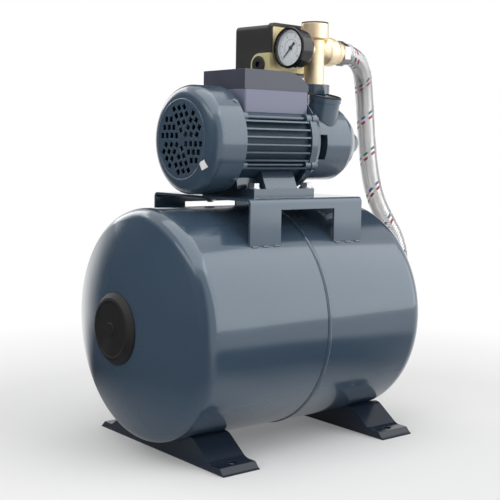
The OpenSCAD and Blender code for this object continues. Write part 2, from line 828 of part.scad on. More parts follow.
module terminal_box() color(paint) difference() {
    union() {
        at_motor(box_mid) translate([0, 0, box_low]) difference() {
            linear_extrude(box_rim - box_low) rounded_plan(box_l, box_w, box_corner);
            translate([0, 0, box_floor]) linear_extrude(box_rim)
                rounded_plan(box_l - 2 * box_wall, box_w - 2 * box_wall, box_corner - 1);
        }
        at_motor(box_mid) at_lid_screws() translate([0, 0, box_low])
            cylinder(r = post_r, h = box_rim - box_low);
    }
    at_motor(box_x - 1) rod_x(frame_r + seat_gap, 0, box_l + 2);
    at_motor(box_mid) at_lid_screws() cylinder(r = screw_r + seat_gap, h = box_rim + 1);
    at_gland() translate([0, 0, -box_wall - 2]) cylinder(r = gland_r + seat_gap, h = box_wall + 4);
}

box_floor = 6;
post_r = 5;
post_inset = 7;
head_r = 3.5;
head_t = 2.6;
screw_drop = 5;

module at_lid_screws() for (x = [-1, 1], y = [-1, 1])
    translate([x * (box_l / 2 - post_inset), y * (box_w / 2 - post_inset), 0]) children();

// Lid with a curved slope at the pump end
lid_drop = lid_h - lid_edge;
lid_arc = (lid_slope * lid_slope + lid_drop * lid_drop) / (2 * lid_drop);

module lid_side(inset) intersection() {
    translate([inset - box_l / 2, 0]) square([box_l - 2 * inset, lid_h - inset]);
    union() {
        translate([-box_l / 2, 0]) square([box_l - lid_slope, lid_h]);
        translate([box_l / 2 - lid_slope, lid_h - lid_arc]) circle(lid_arc - inset, $fn = 128);
    }
}

module terminal_cover() color(black) at_motor(box_mid) translate([0, 0, box_rim]) difference() {
    translate([0, box_w / 2, 0]) rotate([90, 0, 0]) linear_extrude(box_w) lid_side(0);
    difference() {
        translate([0, box_w / 2 - box_wall, -eps]) rotate([90, 0, 0])
            linear_extrude(box_w - 2 * box_wall)
            lid_side(box_wall);
        at_lid_screws() translate([0, 0, -1]) cylinder(r = post_r, h = lid_h + 2);
    }
    at_lid_screws() translate([0, 0, -1]) cylinder(r = screw_r + seat_gap, h = lid_h);
    at_lid_screws() translate([0, 0, screw_drop]) cylinder(r = head_r + slide_gap, h = lid_h);
}

module terminal_screws() color(steel) at_motor(box_mid) at_lid_screws() {
    translate([0, 0, frame_r - 4]) cylinder(r = screw_r, h = box_rim + screw_drop - frame_r + 4 + eps);
    translate([0, 0, box_rim + screw_drop]) cylinder(r = head_r, h = head_t);
}

// What sits on the barrel inside the box is cut to the barrel
module terminal_block() color([0.9, 0.88, 0.8]) at_motor(box_mid - 26) difference() {
    union() {
        translate([-8, -22, frame_r - 8]) cube([16, 44, 20]);
        for (i = [-1.5:1.5]) translate([0, i * 10.5, frame_r + 11]) cylinder(r = 3.4, h = 4);
    }
    rod_x(frame_r + seat_gap, -10, 10);
}

capacitor_r = 12.5;
capacitor_l = 58;

module capacitor() color([0.93, 0.93, 0.9]) at_motor(box_mid + 14) difference() {
    union() {
        translate([0, capacitor_l / 2, frame_r + capacitor_r + 1]) rotate([90, 0, 0])
            cylinder(r = capacitor_r, h = capacitor_l);
        translate([-9, -10, frame_r - 3]) cube([18, 20, capacitor_r + 4]);
    }
    rod_x(frame_r + seat_gap, -20, 20);
}

gland_r = 7;

module at_gland() at_motor(box_x + box_l - 34) translate([0, box_w / 2, box_rim - 11.5])
    rotate([-90, 0, 0]) children();

module cable_gland() color(black) at_gland() difference() {
    union() {
        translate([0, 0, -box_wall - 5]) cylinder(r = gland_r, h = box_wall + 6);
        cylinder(r = gland_r + 3, h = 5, $fn = 6);
        translate([0, 0, 5 - eps]) cylinder(r1 = gland_r + 2, r2 = gland_r - 1, h = 9);
        translate([0, 0, -box_wall - 4]) cylinder(r = gland_r + 2.5, h = 4 - seat_gap, $fn = 6);
    }
    translate([0, 0, -20]) cylinder(r = 4, h = 40);
}

// Pump bracket: motor flange, bearing hub, open lantern and the wall behind the pump
lug_t = 8;
bracket_flange_r = 60;
lantern_x = frame_end + 17;
wall_x = bracket_end - 10;
spigot_l = 6;
spigot_r = chamber_r - 0.2;
seal_x = wall_x + 5;
seal_bore = 14;
slot_x = frame_end + 19;
slot_l = 13;
slot_z = 31;
slot_low = -21.5;

module pump_bracket() color(paint) at_motor() difference() {
    union() {
        turn_x() polygon([[shaft_r + slide_gap + 1, wall_x],
            [shaft_r + slide_gap + 1, bracket_end + spigot_l],
            [spigot_r, bracket_end + spigot_l], [spigot_r, bracket_end], [pump_r, bracket_end],
            [pump_r, frame_end + 22], [pump_r + 4, frame_end + 12],
                [bracket_flange_r - 3, frame_end + lug_t],
            [bracket_flange_r, frame_end + lug_t - 2], [bracket_flange_r, frame_end],
            [stator_r - slide_gap, frame_end], [stator_r - slide_gap, frame_end - 4],
            [stator_r - 6, frame_end - 4], [stator_r - 6, frame_end + 4],
                [bearing_r + seat_gap, frame_end + 4],
            [bearing_r + seat_gap, frame_end + 4 + bearing_w], [shaft_r + 3, frame_end + 4 + bearing_w],
            [shaft_r + 3, lantern_x], [pump_r - 6, lantern_x], [pump_r - 6, wall_x]]);
        for (s = [-1, 1], v = [-1, 1]) translate([0, s * tie_y, v * tie_z])
            rod_x(tie_boss + 1, frame_end, frame_end + lug_t);
    }
    tie_holes(frame_end - 1, frame_end + lug_t + 1);
    rod_x(seal_bore, seal_x, bracket_end + spigot_l + 1);
    turn_x() translate([spigot_r - 2.6, bracket_end + 1.6]) square([3, 2.8]);
    both_sides() translate([slot_x, pump_r - 16, slot_low]) cube([slot_l, pump_r, slot_z]);
    casing_bolt_holes(wall_x - 1, bracket_end + 1);
    for (s = [-1, 1], v = [-1, 1]) translate([0, s * tie_y, v * tie_z])
        rod_x(5.4, frame_end + lug_t, frame_end + lug_t + 14);
    difference() {
        translate([frame_end - 1, -pump_r - 20, box_low - slide_gap])
            cube([box_x + box_l + slide_gap - frame_end + 1, 2 * pump_r + 40, 60]);
        rod_x(frame_r, frame_end - 2, frame_end + bracket_l);
    }
}

module casing_seal() color(black) at_motor() turn_x() translate([spigot_r - 1.25, bracket_end + 3])
    circle(1.3);

module seal_seat() color([0.93, 0.92, 0.88]) at_motor()
    tube_x(seal_bore - seat_gap, shaft_r + 1.2, seal_x, seal_x + 5);

module seal_ring() color([0.2, 0.2, 0.22]) at_motor() {
    tube_x(seal_bore - 1.5, pump_seat_r + seat_gap, seal_x + 5.1, seal_x + 8);
    tube_x(seal_bore - 3, pump_seat_r + seat_gap, seal_x + 8, impeller_x);
}

// Peripheral impeller: a web between two rings of short vanes
vane_l = 7;
web_t = 2;

module vane_ring(t) linear_extrude(t) difference() {
    circle(impeller_r, $fn = 128);
    circle(pump_seat_r + seat_gap);
    for (i = [0:vane_n - 1]) rotate(i * 360 / vane_n) translate([impeller_r - vane_l, -1.1])
        square([vane_l + 1, 2.2]);
}

module impeller() color(brass) at_motor(impeller_x) {
    side = (impeller_t - web_t) / 2;
    to_x() vane_ring(side);
    tube_x(impeller_r, pump_seat_r + seat_gap, side - eps, side + web_t + eps);
    translate([side + web_t, 0, 0]) to_x() vane_ring(side);
}

// Pump casing: a turned body with a nose and two ports
chamber_l = 24;
// Room round the suction pipe where it passes the outlet
pipe_way = 1;
suction_r = 7;
suction_shift = 5;
casing_end = bracket_end + casing_l;
casing_bolt_n = 4;
casing_bolt_pcr = pump_r - 4.6;
casing_bolt_r = 2.5;
casing_grip = 32;
casing_head_x = bracket_end + casing_grip;
casing_round = 52;
casing_fall = pump_r - nose_r;

// Round end of the casing as shares of its fall and of its length
casing_shares = [[0, 1], [0.07, 0.9], [0.33, 0.644], [0.64, 0.423], [0.833, 0.308], [0.93, 0.154],
    [1, 0.07], [1.13, 0]];

module at_inlet() at_motor(outlet_x - inlet_back) translate([0, -inlet_y, inlet_h])
    rotate([inlet_lean, 0, 0]) children();

module casing_bolt_holes(x0, x1) ring_of(casing_bolt_n, casing_bolt_pcr, 45)
    rod_x(casing_bolt_r + seat_gap, x0, x1);

module casing_bolts() color(steel) at_motor() ring_of(casing_bolt_n, casing_bolt_pcr, 45) {
    rod_x(casing_bolt_r, wall_x, casing_head_x);
    difference() {
        rod_x(4, casing_head_x, casing_head_x + 5);
        hex_x(2.3, casing_head_x + 2, casing_head_x + 6);
    }
}

module pump_casing() color(paint) difference() {
    union() {
        at_motor() turn_x() polygon(concat([[0, bracket_end], [pump_r, bracket_end]],
            [for (p = casing_shares) [pump_r - p[0] * casing_fall, casing_end - p[1] * casing_round]],
            [[0, casing_end]]));
        at_motor(outlet_x) cylinder(r = port_r, h = outlet_h);
        at_inlet() translate([0, 0, -inlet_h]) cylinder(r = port_r, h = inlet_h);
        at_inlet() translate([0, 0, -6]) cylinder(r = port_r + 1, h = 6);
    }
    at_motor() rod_x(chamber_r, bracket_end - port_r, bracket_end + chamber_l);
    at_motor() turn_x() polygon([[0, frame_end], [bracket_flange_r + slide_gap, frame_end],
        [bracket_flange_r + slide_gap, frame_end + lug_t], [pump_r + 4 + slide_gap, frame_end + 12],
        [pump_r + slide_gap, frame_end + 22], [pump_r + slide_gap, bracket_end], [0, bracket_end]]);
    at_motor(outlet_x) translate([0, 0, outlet_h - pipe_seat])
        cylinder(r = pipe_r + seat_gap, h = pipe_seat + 1);
    at_motor(outlet_x) translate([0, 0, chamber_r - 12]) cylinder(r = pipe_bore, h = outlet_h);
    at_inlet() translate([0, 0, -inlet_thread]) cylinder(r = thread_r, h = inlet_thread + 1);
    at_inlet() translate([suction_shift, 0, chamber_l - inlet_h])
        cylinder(r = suction_r, h = inlet_h - chamber_l);
    at_inlet() cylinder(r = thread_r + pipe_way, h = outlet_h);
    at_inlet() translate([0, 0, -2]) cylinder(r1 = thread_r, r2 = thread_r + 3, h = 2 + eps);
    at_motor() casing_bolt_holes(bracket_end - 1, casing_head_x + 1);
    at_motor() ring_of(casing_bolt_n, casing_bolt_pcr, 45)
        rod_x(4 + slide_gap, casing_head_x, casing_end);
}

// Five-way fitting
pipe_seat = 16;
collar_z = fitting_h - collar_h;
stub_r = 9.5;

module five_way_fitting() color(brass) at_fitting() difference() {
    union() {
        translate([0, 0, -pipe_seat]) cylinder(r = pipe_r, h = pipe_seat + collar_z + eps);
        translate([0, 0, collar_z]) rotate_extrude()
            polygon([[0, 0], [pipe_r, -2.5], [collar_r - 1, -1],
            [collar_r, 0], [collar_r, collar_h - 0.8], [collar_r - 0.8, collar_h], [0, collar_h]]);
        translate([0, 0, side_h]) turn_x()
            polygon([[0, 0], [pipe_r - 1, 6], [branch_r - 2.5, 14], [branch_r - 0.5, 17],
            [branch_r, 21], [branch_r, 30], [branch_r - 2.5, 36], [branch_r - 3.5, branch_l - 2],
            [branch_r - 4.5, branch_l], [0, branch_l]]);
        translate([0, 0, side_h]) rod_x(stub_r, -pipe_r - 5, 0);
        translate([0, 0, side_h]) rotate([-90, 0, 0]) cylinder(r = stub_r, h = switch_reach - 3);
    }
    translate([0, 0, -pipe_seat - 1]) cylinder(r = pipe_bore, h = fitting_h);
    translate([0, 0, fitting_h - thread_l]) cylinder(r = thread_r, h = thread_l + 1);
    translate([0, 0, side_h]) rod_x(pipe_bore, 0, branch_l + 1);
    translate([0, 0, side_h]) rod_x(stem_r + seat_gap, -pipe_r - 6, 0);
    translate([0, 0, side_h]) rotate([-90, 0, 0]) cylinder(r = stem_r, h = switch_reach);
}

gasket_t = 1.5;

// Flat rubber rings on the open mouths of the fitting and the inlet
module port_gaskets() color(black) {
    at_fitting() translate([0, 0, fitting_h]) difference() {
        cylinder(r = collar_r - 0.5, h = gasket_t);
        translate([0, 0, -1]) cylinder(r = thread_r + 0.6, h = gasket_t + 2);
    }
    at_inlet() difference() {
        cylinder(r = port_r, h = gasket_t);
        translate([0, 0, -1]) cylinder(r = thread_r + 3, h = gasket_t + 2);
        translate([0, 0, -2 * gasket_t]) at_inlet_outlet()
            cylinder(r = port_r + slide_gap, h = 4 * outlet_h, center = true);
    }
}

// The outlet's axis as seen from the inlet's face
module at_inlet_outlet() translate([0, 0, 2 * gasket_t]) rotate([-inlet_lean, 0, 0])
    translate([inlet_back, inlet_y, -inlet_h]) children();

// Gauge on the fitting's fan side
stem_r = 5;
gauge_back = -gauge_reach;
gauge_front = gauge_back - gauge_depth;
dial_x = gauge_front + 5.5;
case_r = bezel_r - 1.2;
bezel_l = 8;

module at_gauge() at_fitting() translate([0, 0, side_h]) children();

module gauge_case() color(black) at_gauge() turn_x()
    polygon([[stem_r + seat_gap, gauge_back], [case_r - 5, gauge_back],
    [case_r - 1.5, gauge_back - 1.5], [case_r, gauge_back - 5], [case_r, gauge_front + 2],
    [dial_r + 0.5, gauge_front + 2], [dial_r + 0.5, dial_x + 1.2], [case_r - 2, dial_x + 1.2],
    [case_r - 2, gauge_back - 4], [stem_r + seat_gap, gauge_back - 4]]);

module gauge_bezel() color(black) at_gauge() turn_x()
    polygon([[dial_r, gauge_front], [bezel_r - 1.2, gauge_front],
    [bezel_r, gauge_front + 1.5], [bezel_r, gauge_front + bezel_l],
        [case_r + seat_gap, gauge_front + bezel_l],
    [case_r + seat_gap, gauge_front + 1.9], [dial_r, gauge_front + 1.9]]);

module gauge_dial() color([0.94, 0.96, 0.98]) at_gauge()
    tube_x(dial_r + 0.4, pivot_r + run_gap, dial_x, dial_x + 1);

module gauge_lens() color([0.85, 0.92, 0.95, 0.3]) at_gauge()
    rod_x(dial_r + 0.4, gauge_front + 2, gauge_front + 3.2);

pivot_r = 1.2;
pointer_l = 17;
pointer_x = dial_x - 1;
// The pointer at rest shows no pressure, down and to the viewer's left
pointer_angle = 135;

module gauge_pointer() color(black) at_gauge() {
    rod_x(pivot_r, pointer_x - 0.6, dial_x + 4);
    rod_x(2.6, pointer_x - 0.6, pointer_x + 0.6);
    translate([pointer_x - 0.4, 0, 0]) rotate([-pointer_angle, 0, 0]) to_x() linear_extrude(0.8)
        polygon([[-1.5, -9], [1.5, -9], [0.9, 0], [0.25, pointer_l], [-0.25, pointer_l], [-0.9, 0]]);
}

module gauge_stem() color(brass) at_gauge() {
    rod_x(stem_r, gauge_back - 14, -pipe_bore - 1);
    hex_x(8, gauge_back + seat_gap, -pipe_r - 5);
    translate([gauge_back - 12, 0, 0]) rotate([0, 90, 0]) rotate_extrude(angle = 290) translate([14, 0])
        circle(2.2);
    rotate([0, 0, 0]) translate([gauge_back - 13.5, stem_r - 2, -2]) cube([3, 11, 4]);
}

// Pressure switch behind the fitting: base plate, cover, and what works inside
switch_front = switch_reach;
plate_back = switch_front + switch_plate;
switch_mid = switch_l / 2 - switch_left;
grommet_r = 11;
grommet_y = plate_back + 17;
grommet_z = grommet_r + 0.3 - switch_h / 2;
plate_inset = switch_wall + slide_gap;
rim_proud = 1;
rim_w = 2;
rim_l = 7;
tab_r = 14.5;
tab_low = grommet_r + 0.3;

module at_switch() at_fitting() translate([0, 0, side_h]) children();

// The base: a plate with a tab for the cable entry, ears for the lever and the spring's post
module switch_base() color(zinc) at_switch() difference() {
    union() {
        translate([switch_mid, plate_back, 0]) rotate([90, 0, 0]) linear_extrude(switch_plate)
            rounded_plan(switch_l - 2 * plate_inset, switch_h - 2 * plate_inset,
                switch_round - switch_wall);
        translate([-switch_left - slide_gap - switch_plate, 0, 0]) to_x() linear_extrude(switch_plate) {
            translate([grommet_y, grommet_z]) circle(tab_r);
            translate([switch_front, grommet_z - tab_low])
                square([grommet_y + tab_r - switch_front, tab_low]);
            translate([switch_front, grommet_z]) square([grommet_y - switch_front, tab_r]);
        }
        translate([-switch_left - slide_gap - switch_plate, switch_front, grommet_z - tab_low])
            cube([2 * switch_plate + plate_inset, switch_plate, tab_low + tab_r]);
        for (z = [ear_z, -ear_z - ear_t]) translate([pivot_x - 4, plate_back - eps, z])
            cube([8, lever_y - plate_back + 4, ear_t]);
        translate([spring_x, plate_back - eps, 0]) rotate([-90, 0, 0])
            cylinder(r = spring_post_r, h = lever_y - plate_back + spring_l + 12);
        translate([spring_x, lever_y + lever_t / 2 + spring_l, 0]) rotate([-90, 0, 0])
            cylinder(r = 8, h = 5, $fn = 6);
    }
    rotate([-90, 0, 0]) cylinder(r = neck_r + seat_gap, h = plate_back + 1);
    translate([-switch_left - 10, grommet_y, grommet_z]) rotate([0, 90, 0])
        cylinder(r = grommet_r - 2 + seat_gap, h = 20);
    translate([pivot_x, lever_y, -2 * ear_z]) cylinder(r = pin_r + run_gap, h = 4 * ear_z);
    translate([-switch_left - slide_gap - 2 * switch_plate, switch_front - 1, grommet_z - 2 * tab_r])
        cube([3 * switch_plate, 3 * tab_r, 2 * tab_r - tab_low]);
}

module switch_shell(l, h, d, r) translate([0, d, 0]) rotate([90, 0, 0]) linear_extrude(d)
    rounded_plan(l, h, r);

// The cover: a deep shell round the plate, with a raised rim at its front and a notch for the tab
module switch_cover() color(black) at_switch() difference() {
    translate([switch_mid, switch_front - rim_proud, 0]) difference() {
        union() {
            switch_shell(switch_l, switch_h, switch_d + switch_plate + rim_proud, switch_round);
            translate([0, 0, rim_w / 2]) switch_shell(switch_l, switch_h + rim_w, rim_l, switch_round);
        }
        translate([0, -eps, 0]) switch_shell(switch_l - 2 * switch_wall, switch_h - 2 * switch_wall,
            switch_d + switch_plate + rim_proud - switch_wall, switch_round - switch_wall);
    }
    translate([-switch_left - switch_plate, switch_front - 2 * rim_proud,
        grommet_z - tab_low - slide_gap])
        cube([2 * switch_plate + switch_wall, 2 * rim_proud + switch_plate + slide_gap,
            tab_low + tab_r + 2 * slide_gap]);
}

neck_r = 11;

// Diaphragm housing: a hex union on the fitting's side port
module switch_neck() color(brass) at_switch() rotate([-90, 0, 0]) difference() {
    union() {
        translate([0, 0, pipe_r + 5]) rotate(30)
            cylinder(r = 14, h = switch_front - pipe_r - 5 - seat_gap, $fn = 6);
        translate([0, 0, switch_front - 1]) cylinder(r = neck_r, h = switch_plate + 3);
    }
    cylinder(r = stub_r + seat_gap, h = switch_reach - 3 + seat_gap);
    cylinder(r = plunger_r + slide_gap, h = 2 * switch_front);
}

plunger_r = 3.5;
lever_y = plate_back + 12;
lever_t = 2;
lever_w = 18;
ear_z = lever_w / 2 + 1;
ear_t = 2.5;
pivot_x = -39;
pin_r = 1.5;
spring_x = 24;
spring_post_r = 2.5;
spring_turns = 6;
spring_pitch = 2.6;
wire_r = 0.9;
spring_l = spring_turns * spring_pitch + 2 * slide_gap;

module switch_plunger() color(steel) at_switch() rotate([-90, 0, 0]) translate([0, 0, switch_front - 2])
    cylinder(r = plunger_r, h = lever_y - lever_t / 2 - switch_front + 2 - slide_gap);

// The lever turns on a pin through both ears
module switch_lever() color(zinc) at_switch() difference() {
    union() {
        translate([pivot_x, lever_y - lever_t / 2, -lever_w / 2])
            cube([spring_x - pivot_x + 12, lever_t, lever_w]);
        translate([pivot_x, lever_y, -lever_w / 2]) cylinder(r = 3, h = lever_w);
        translate([pivot_x, lever_y, -ear_z - ear_t - 1])
            cylinder(r = pin_r, h = 2 * (ear_z + ear_t + 1));
    }
    translate([spring_x, lever_y - 5, 0]) rotate([-90, 0, 0]) cylinder(r = spring_post_r + 1.5, h = 10);
}

// Main spring over its post, drawn as a stack of rings
module switch_springs() color(steel) at_switch()
    translate([spring_x, lever_y + lever_t / 2 + slide_gap, 0])
    rotate([-90, 0, 0]) rotate_extrude() for (i = [0:spring_turns - 1])
        translate([spring_post_r + 3, spring_pitch * (i + 0.5)]) {
            circle(wire_r);
            if (i < spring_turns - 1) translate([-wire_r / 4, 0]) square([wire_r / 2, spring_pitch]);
        }

module switch_contacts() color([0.25, 0.2, 0.18]) at_switch() translate([-20, plate_back, ear_z + 4]) {
    cube([40, 8, 12]);
    for (i = [0.5:3.5]) translate([i * 10, 8 - eps, 6]) rotate([-90, 0, 0]) cylinder(r = 3, h = 3);
}

module switch_grommet() color(black) at_switch()
    translate([-switch_left - slide_gap - switch_plate, grommet_y, grommet_z])
    rotate([0, 90, 0]) rotate_extrude() difference() {
        translate([4, -2.5]) square([grommet_r - 4, 2.5 - seat_gap]);
        translate([grommet_r, -3]) circle(1.5);
    }

// Hose between the fitting and the elbow
nut_r = 16.5;
ferrule_r = hose_r + 1.6;
ferrule_gap = 0.4;
hose_sides = 12;

// Route of the hose's middle line, from the fitting to the elbow
hose_path = [[115, 6, 487], [124, 7, 487], [138, 9, 485], [152, 14, 480], [165, 20, 471],
    [175, 26, 459],
    [182, 31, 445], [187, 34, 429], [191, 36, 411], [194, 37, 393], [197, 38, 375], [200, 38, 357],
    [202, 37, 339], [204, 35, 321], [206, 31, 303], [209, 26, 286], [213, 19, 270], [219, 12, 255],
    [225, 5, 240], [229, 1, 223], [230, 0, 206], [230, 0, 194]];

function unit(v) = v / norm(v);
function path_dir(i) = i == 0 ? unit(hose_path[1] - hose_path[0])
    : i == len(hose_path) - 1 ? unit(hose_path[i] - hose_path[i - 1])
    : unit(hose_path[i + 1] - hose_path[i - 1]);
function ring_points(i) = let (d = path_dir(i), side = unit(cross(d, [0, 1, 0])), up = cross(side, d))
    [for (k = [0:hose_sides - 1]) let (a = k * 360 / hose_sides)
        hose_path[i] + hose_r * (cos(a) * side + sin(a) * up)];

module hose() color([0.85, 0.85, 0.84]) {
    rings = len(hose_path);
    polyhedron(
        points = [for (i = [0:rings - 1]) each ring_points(i)],
        faces = concat(
            [[for (k = [0:hose_sides - 1]) k]],
            [for (i = [0:rings - 2], k = [0:hose_sides - 1]) let (a = i * hose_sides + k,
                b = i * hose_sides + (k + 1) % hose_sides) [a, a + hose_sides, b + hose_sides, b]],
            [[for (k = [0:hose_sides - 1]) rings * hose_sides - 1 - k]]));
}

// Both ends of the hose: the fitting's branch and the elbow's upright leg
module at_hose_ends() {
    at_fitting() translate([branch_l, 0, side_h]) rotate([0, 90, 0]) children();
    at_tank() translate([elbow_x, 0, elbow_up]) children();
}

module hose_nuts() color(steel) at_hose_ends() difference() {
    cylinder(r = nut_r, h = nut_l, $fn = 6);
    translate([0, 0, -1]) cylinder(r = elbow_bore, h = nut_l + 2);
}

module hose_ferrules() color(steel) at_hose_ends() translate([0, 0, nut_l]) rotate_extrude()
    difference() {
    polygon([[hose_r + ferrule_gap, 0], [ferrule_r, 0], [ferrule_r, ferrule_l - 1],
        [ferrule_r - 0.8, ferrule_l],
        [hose_r + ferrule_gap, ferrule_l]]);
    for (z = [ferrule_l * 0.3, ferrule_l * 0.6]) translate([ferrule_r + 0.6, z]) circle(1.2);
}

tank_shell_left();
tank_shell_right();
mouth_ring();
membrane();
tank_flange();
flange_bolts();
air_valve();
air_valve_cap();
foot_left();
foot_right();
platform();
motor_frame();
motor_foot();
foot_bolts();
stator_core();
stator_winding();
rotor_core();
motor_shaft();
bearing_outer_rings();
bearing_inner_rings();
bearing_balls();
rear_shield();
cooling_fan();
fan_cover();
cover_screws();
tie_bolts();
terminal_box();
terminal_cover();
terminal_screws();
terminal_block();
capacitor();
cable_gland();
pump_bracket();
pump_casing();
casing_seal();
impeller();
seal_seat();
seal_ring();
casing_bolts();
five_way_fitting();
port_gaskets();
gauge_case();
gauge_bezel();
gauge_dial();
gauge_lens();
gauge_pointer();
gauge_stem();
switch_base();
switch_cover();
switch_neck();
switch_plunger();
switch_lever();
switch_springs();
switch_contacts();
switch_grommet();
hose();
hose_nuts();
hose_ferrules();
tank_elbow();
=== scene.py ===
import math
import bpy
from mathutils import Matrix, Vector


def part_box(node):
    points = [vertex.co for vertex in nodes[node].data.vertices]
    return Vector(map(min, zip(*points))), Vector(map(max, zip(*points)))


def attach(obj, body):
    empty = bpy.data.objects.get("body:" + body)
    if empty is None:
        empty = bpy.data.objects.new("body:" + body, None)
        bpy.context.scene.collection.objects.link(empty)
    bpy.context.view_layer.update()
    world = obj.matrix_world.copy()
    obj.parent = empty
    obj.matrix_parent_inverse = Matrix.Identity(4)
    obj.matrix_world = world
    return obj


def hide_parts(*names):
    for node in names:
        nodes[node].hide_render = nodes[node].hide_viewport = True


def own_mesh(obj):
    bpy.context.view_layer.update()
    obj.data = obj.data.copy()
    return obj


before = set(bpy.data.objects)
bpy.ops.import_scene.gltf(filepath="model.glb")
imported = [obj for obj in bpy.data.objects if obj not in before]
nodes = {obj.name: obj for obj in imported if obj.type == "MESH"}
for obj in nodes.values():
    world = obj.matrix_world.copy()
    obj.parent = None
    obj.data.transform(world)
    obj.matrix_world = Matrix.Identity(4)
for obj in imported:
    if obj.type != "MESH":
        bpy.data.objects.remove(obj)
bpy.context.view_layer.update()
bpy.ops.object.select_all(action="DESELECT")
print("frame loaded:", len(nodes), "nodes")

# camera, placed as the photograph was taken: metres, degrees, and the lens in millimetres
camSet = {"target": (-0.04242, 0.0, 0.23315), "azimuth": -38.904, "elevation": 5.707, "distance": 1.29365,
          "roll": 0.942, "lens": 74.217, "sensor": 36, "clipEnd": 50}


def makeCamera(c):
    a, e, r = (math.radians(c[k]) for k in ("azimuth", "elevation", "roll"))
    back = Vector((math.sin(a) * math.cos(e), -math.cos(a) * math.cos(e), math.sin(e)))
    right = (-back).cross(Vector((0, 0, 1))).normalized()
    up = right.cross(-back)
    turnedRight = right * math.cos(r) + up * math.sin(r)
    turnedUp = up * math.cos(r) - right * math.sin(r)
    bpy.ops.object.camera_add()
    cam = bpy.context.object
    cam.name = "photoCamera"
    cam.data.lens = c["lens"]
    cam.data.sensor_width = c["sensor"]
    cam.data.clip_end = c["clipEnd"]
    place = Matrix((turnedRight, turnedUp, back)).transposed().to_4x4()
    place.translation = Vector(c["target"]) + back * c["distance"]
    cam.matrix_world = place
    bpy.context.scene.camera = cam


makeCamera(camSet)
bpy.context.scene.view_settings.view_transform = "Standard"
print("camera set")


# shader helpers
def feed(tree, socket, value):   # links another node's output, or sets a plain value
    if isinstance(value, bpy.types.NodeSocket):
        tree.links.new(value, socket)
    else:
        socket.default_value = value


def addNode(tree, kind, **values):   # each value is a setting of the node or goes to its input of that name
    node = tree.nodes.new(kind)
    for key, value in values.items():
        if hasattr(node, key):
            setattr(node, key, value)
        else:
            feed(tree, node.inputs[key.replace("_", " ")], value)
    return node


def mathNode(tree, operation, a, b=None, clamp=False):
    node = addNode(tree, "ShaderNodeMath", operation=operation, use_clamp=clamp)
    feed(tree, node.inputs[0], a)
    if b is not None:
        feed(tree, node.inputs[1], b)
    return node.outputs[0]


def mixColor(tree, factor, a, b):
    node = addNode(tree, "ShaderNodeMix", data_type="RGBA")
    for i, value in ((0, factor), (6, a), (7, b)):   # the colour sockets are the seventh and eighth
        feed(tree, node.inputs[i], value)
    return node.outputs[2]


def band(tree, value, low, high):   # 1 between the two limits
    above = mathNode(tree, "GREATER_THAN", value, low)
    return mathNode(tree, "MULTIPLY", above, mathNode(tree, "LESS_THAN", value, high))


def lengthNode(tree, a, b):   # length of a flat vector
    squares = mathNode(tree, "ADD", mathNode(tree, "MULTIPLY", a, a), mathNode(tree, "MULTIPLY", b, b))
    return mathNode(tree, "SQRT", squares)


def objectSpot(tree):
    return tree.nodes.new("ShaderNodeTexCoord").outputs["Object"]


def splitAxes(tree, vector):
    return addNode(tree, "ShaderNodeSeparateXYZ", Vector=vector).outputs


def nodeOf(tree, kind):
    return next(n for n in tree.nodes if n.type == kind)


def newGroup(name, inputs):   # every finish gives a colour, a roughness and a height
    group = bpy.data.node_groups.new(name, "ShaderNodeTree")
    group.interface.new_socket("Vector", in_out="INPUT", socket_type="NodeSocketVector")
    for label, value in inputs.items():
        kind = "NodeSocketColor" if isinstance(value, tuple) else "NodeSocketFloat"
        group.interface.new_socket(label, in_out="INPUT", socket_type=kind).default_value = value
    for label, kind in (("Color", "Color"), ("Roughness", "Float"), ("Height", "Float")):
        group.interface.new_socket(label, in_out="OUTPUT", socket_type="NodeSocket" + kind)
    return group, group.nodes.new("NodeGroupInput").outputs, group.nodes.new("NodeGroupOutput").inputs


# sprayed paint: slow tone drift, fine orange peel, thin dust
sprayLook = {"driftScale": 7.0, "glossDrift": 0.14, "dustScale": 420.0, "dustFrom": 0.71, "dustCover": 0.10,
             "dustColor": (0.45, 0.45, 0.43, 1)}


def paintGroup(p):
    g, given, result = newGroup("sprayedPaint", {"Color": (0.1, 0.13, 0.17, 1), "Drift": 0.12,
                                                 "Gloss": 0.3, "Peel": 900.0})
    spot = given["Vector"]
    drift = addNode(g, "ShaderNodeTexNoise", Vector=spot, Scale=p["driftScale"], Detail=3.0, Roughness=0.55)
    dust = addNode(g, "ShaderNodeTexNoise", Vector=spot, Scale=p["dustScale"], Detail=2.0, Roughness=0.7)
    peel = addNode(g, "ShaderNodeTexNoise", Vector=spot, Scale=given["Peel"], Detail=1.0)
    sway = mathNode(g, "SUBTRACT", drift.outputs[0], 0.5)
    shade = mathNode(g, "ADD", mathNode(g, "MULTIPLY", sway, given["Drift"]), 1.0)
    bright = addNode(g, "ShaderNodeHueSaturation", Color=given["Color"], Value=shade)
    grains = mathNode(g, "GREATER_THAN", dust.outputs[0], p["dustFrom"])
    speck = mathNode(g, "MULTIPLY", grains, p["dustCover"])
    feed(g, result["Color"], mixColor(g, speck, bright.outputs[0], p["dustColor"]))
    rough = mathNode(g, "MULTIPLY", sway, p["glossDrift"])
    feed(g, result["Roughness"], mathNode(g, "ADD", given["Gloss"], rough, True))
    feed(g, result["Height"], peel.outputs[0])
    return g


# turned or brushed metal: fine lines round one axis, with light tarnish
metalLook = {"lines": (60, 60, 2600), "lineDull": 0.12, "cloudScale": 38.0, "cloudFrom": 0.42,
             "cloudTo": 0.72, "tarnishDull": 0.2}


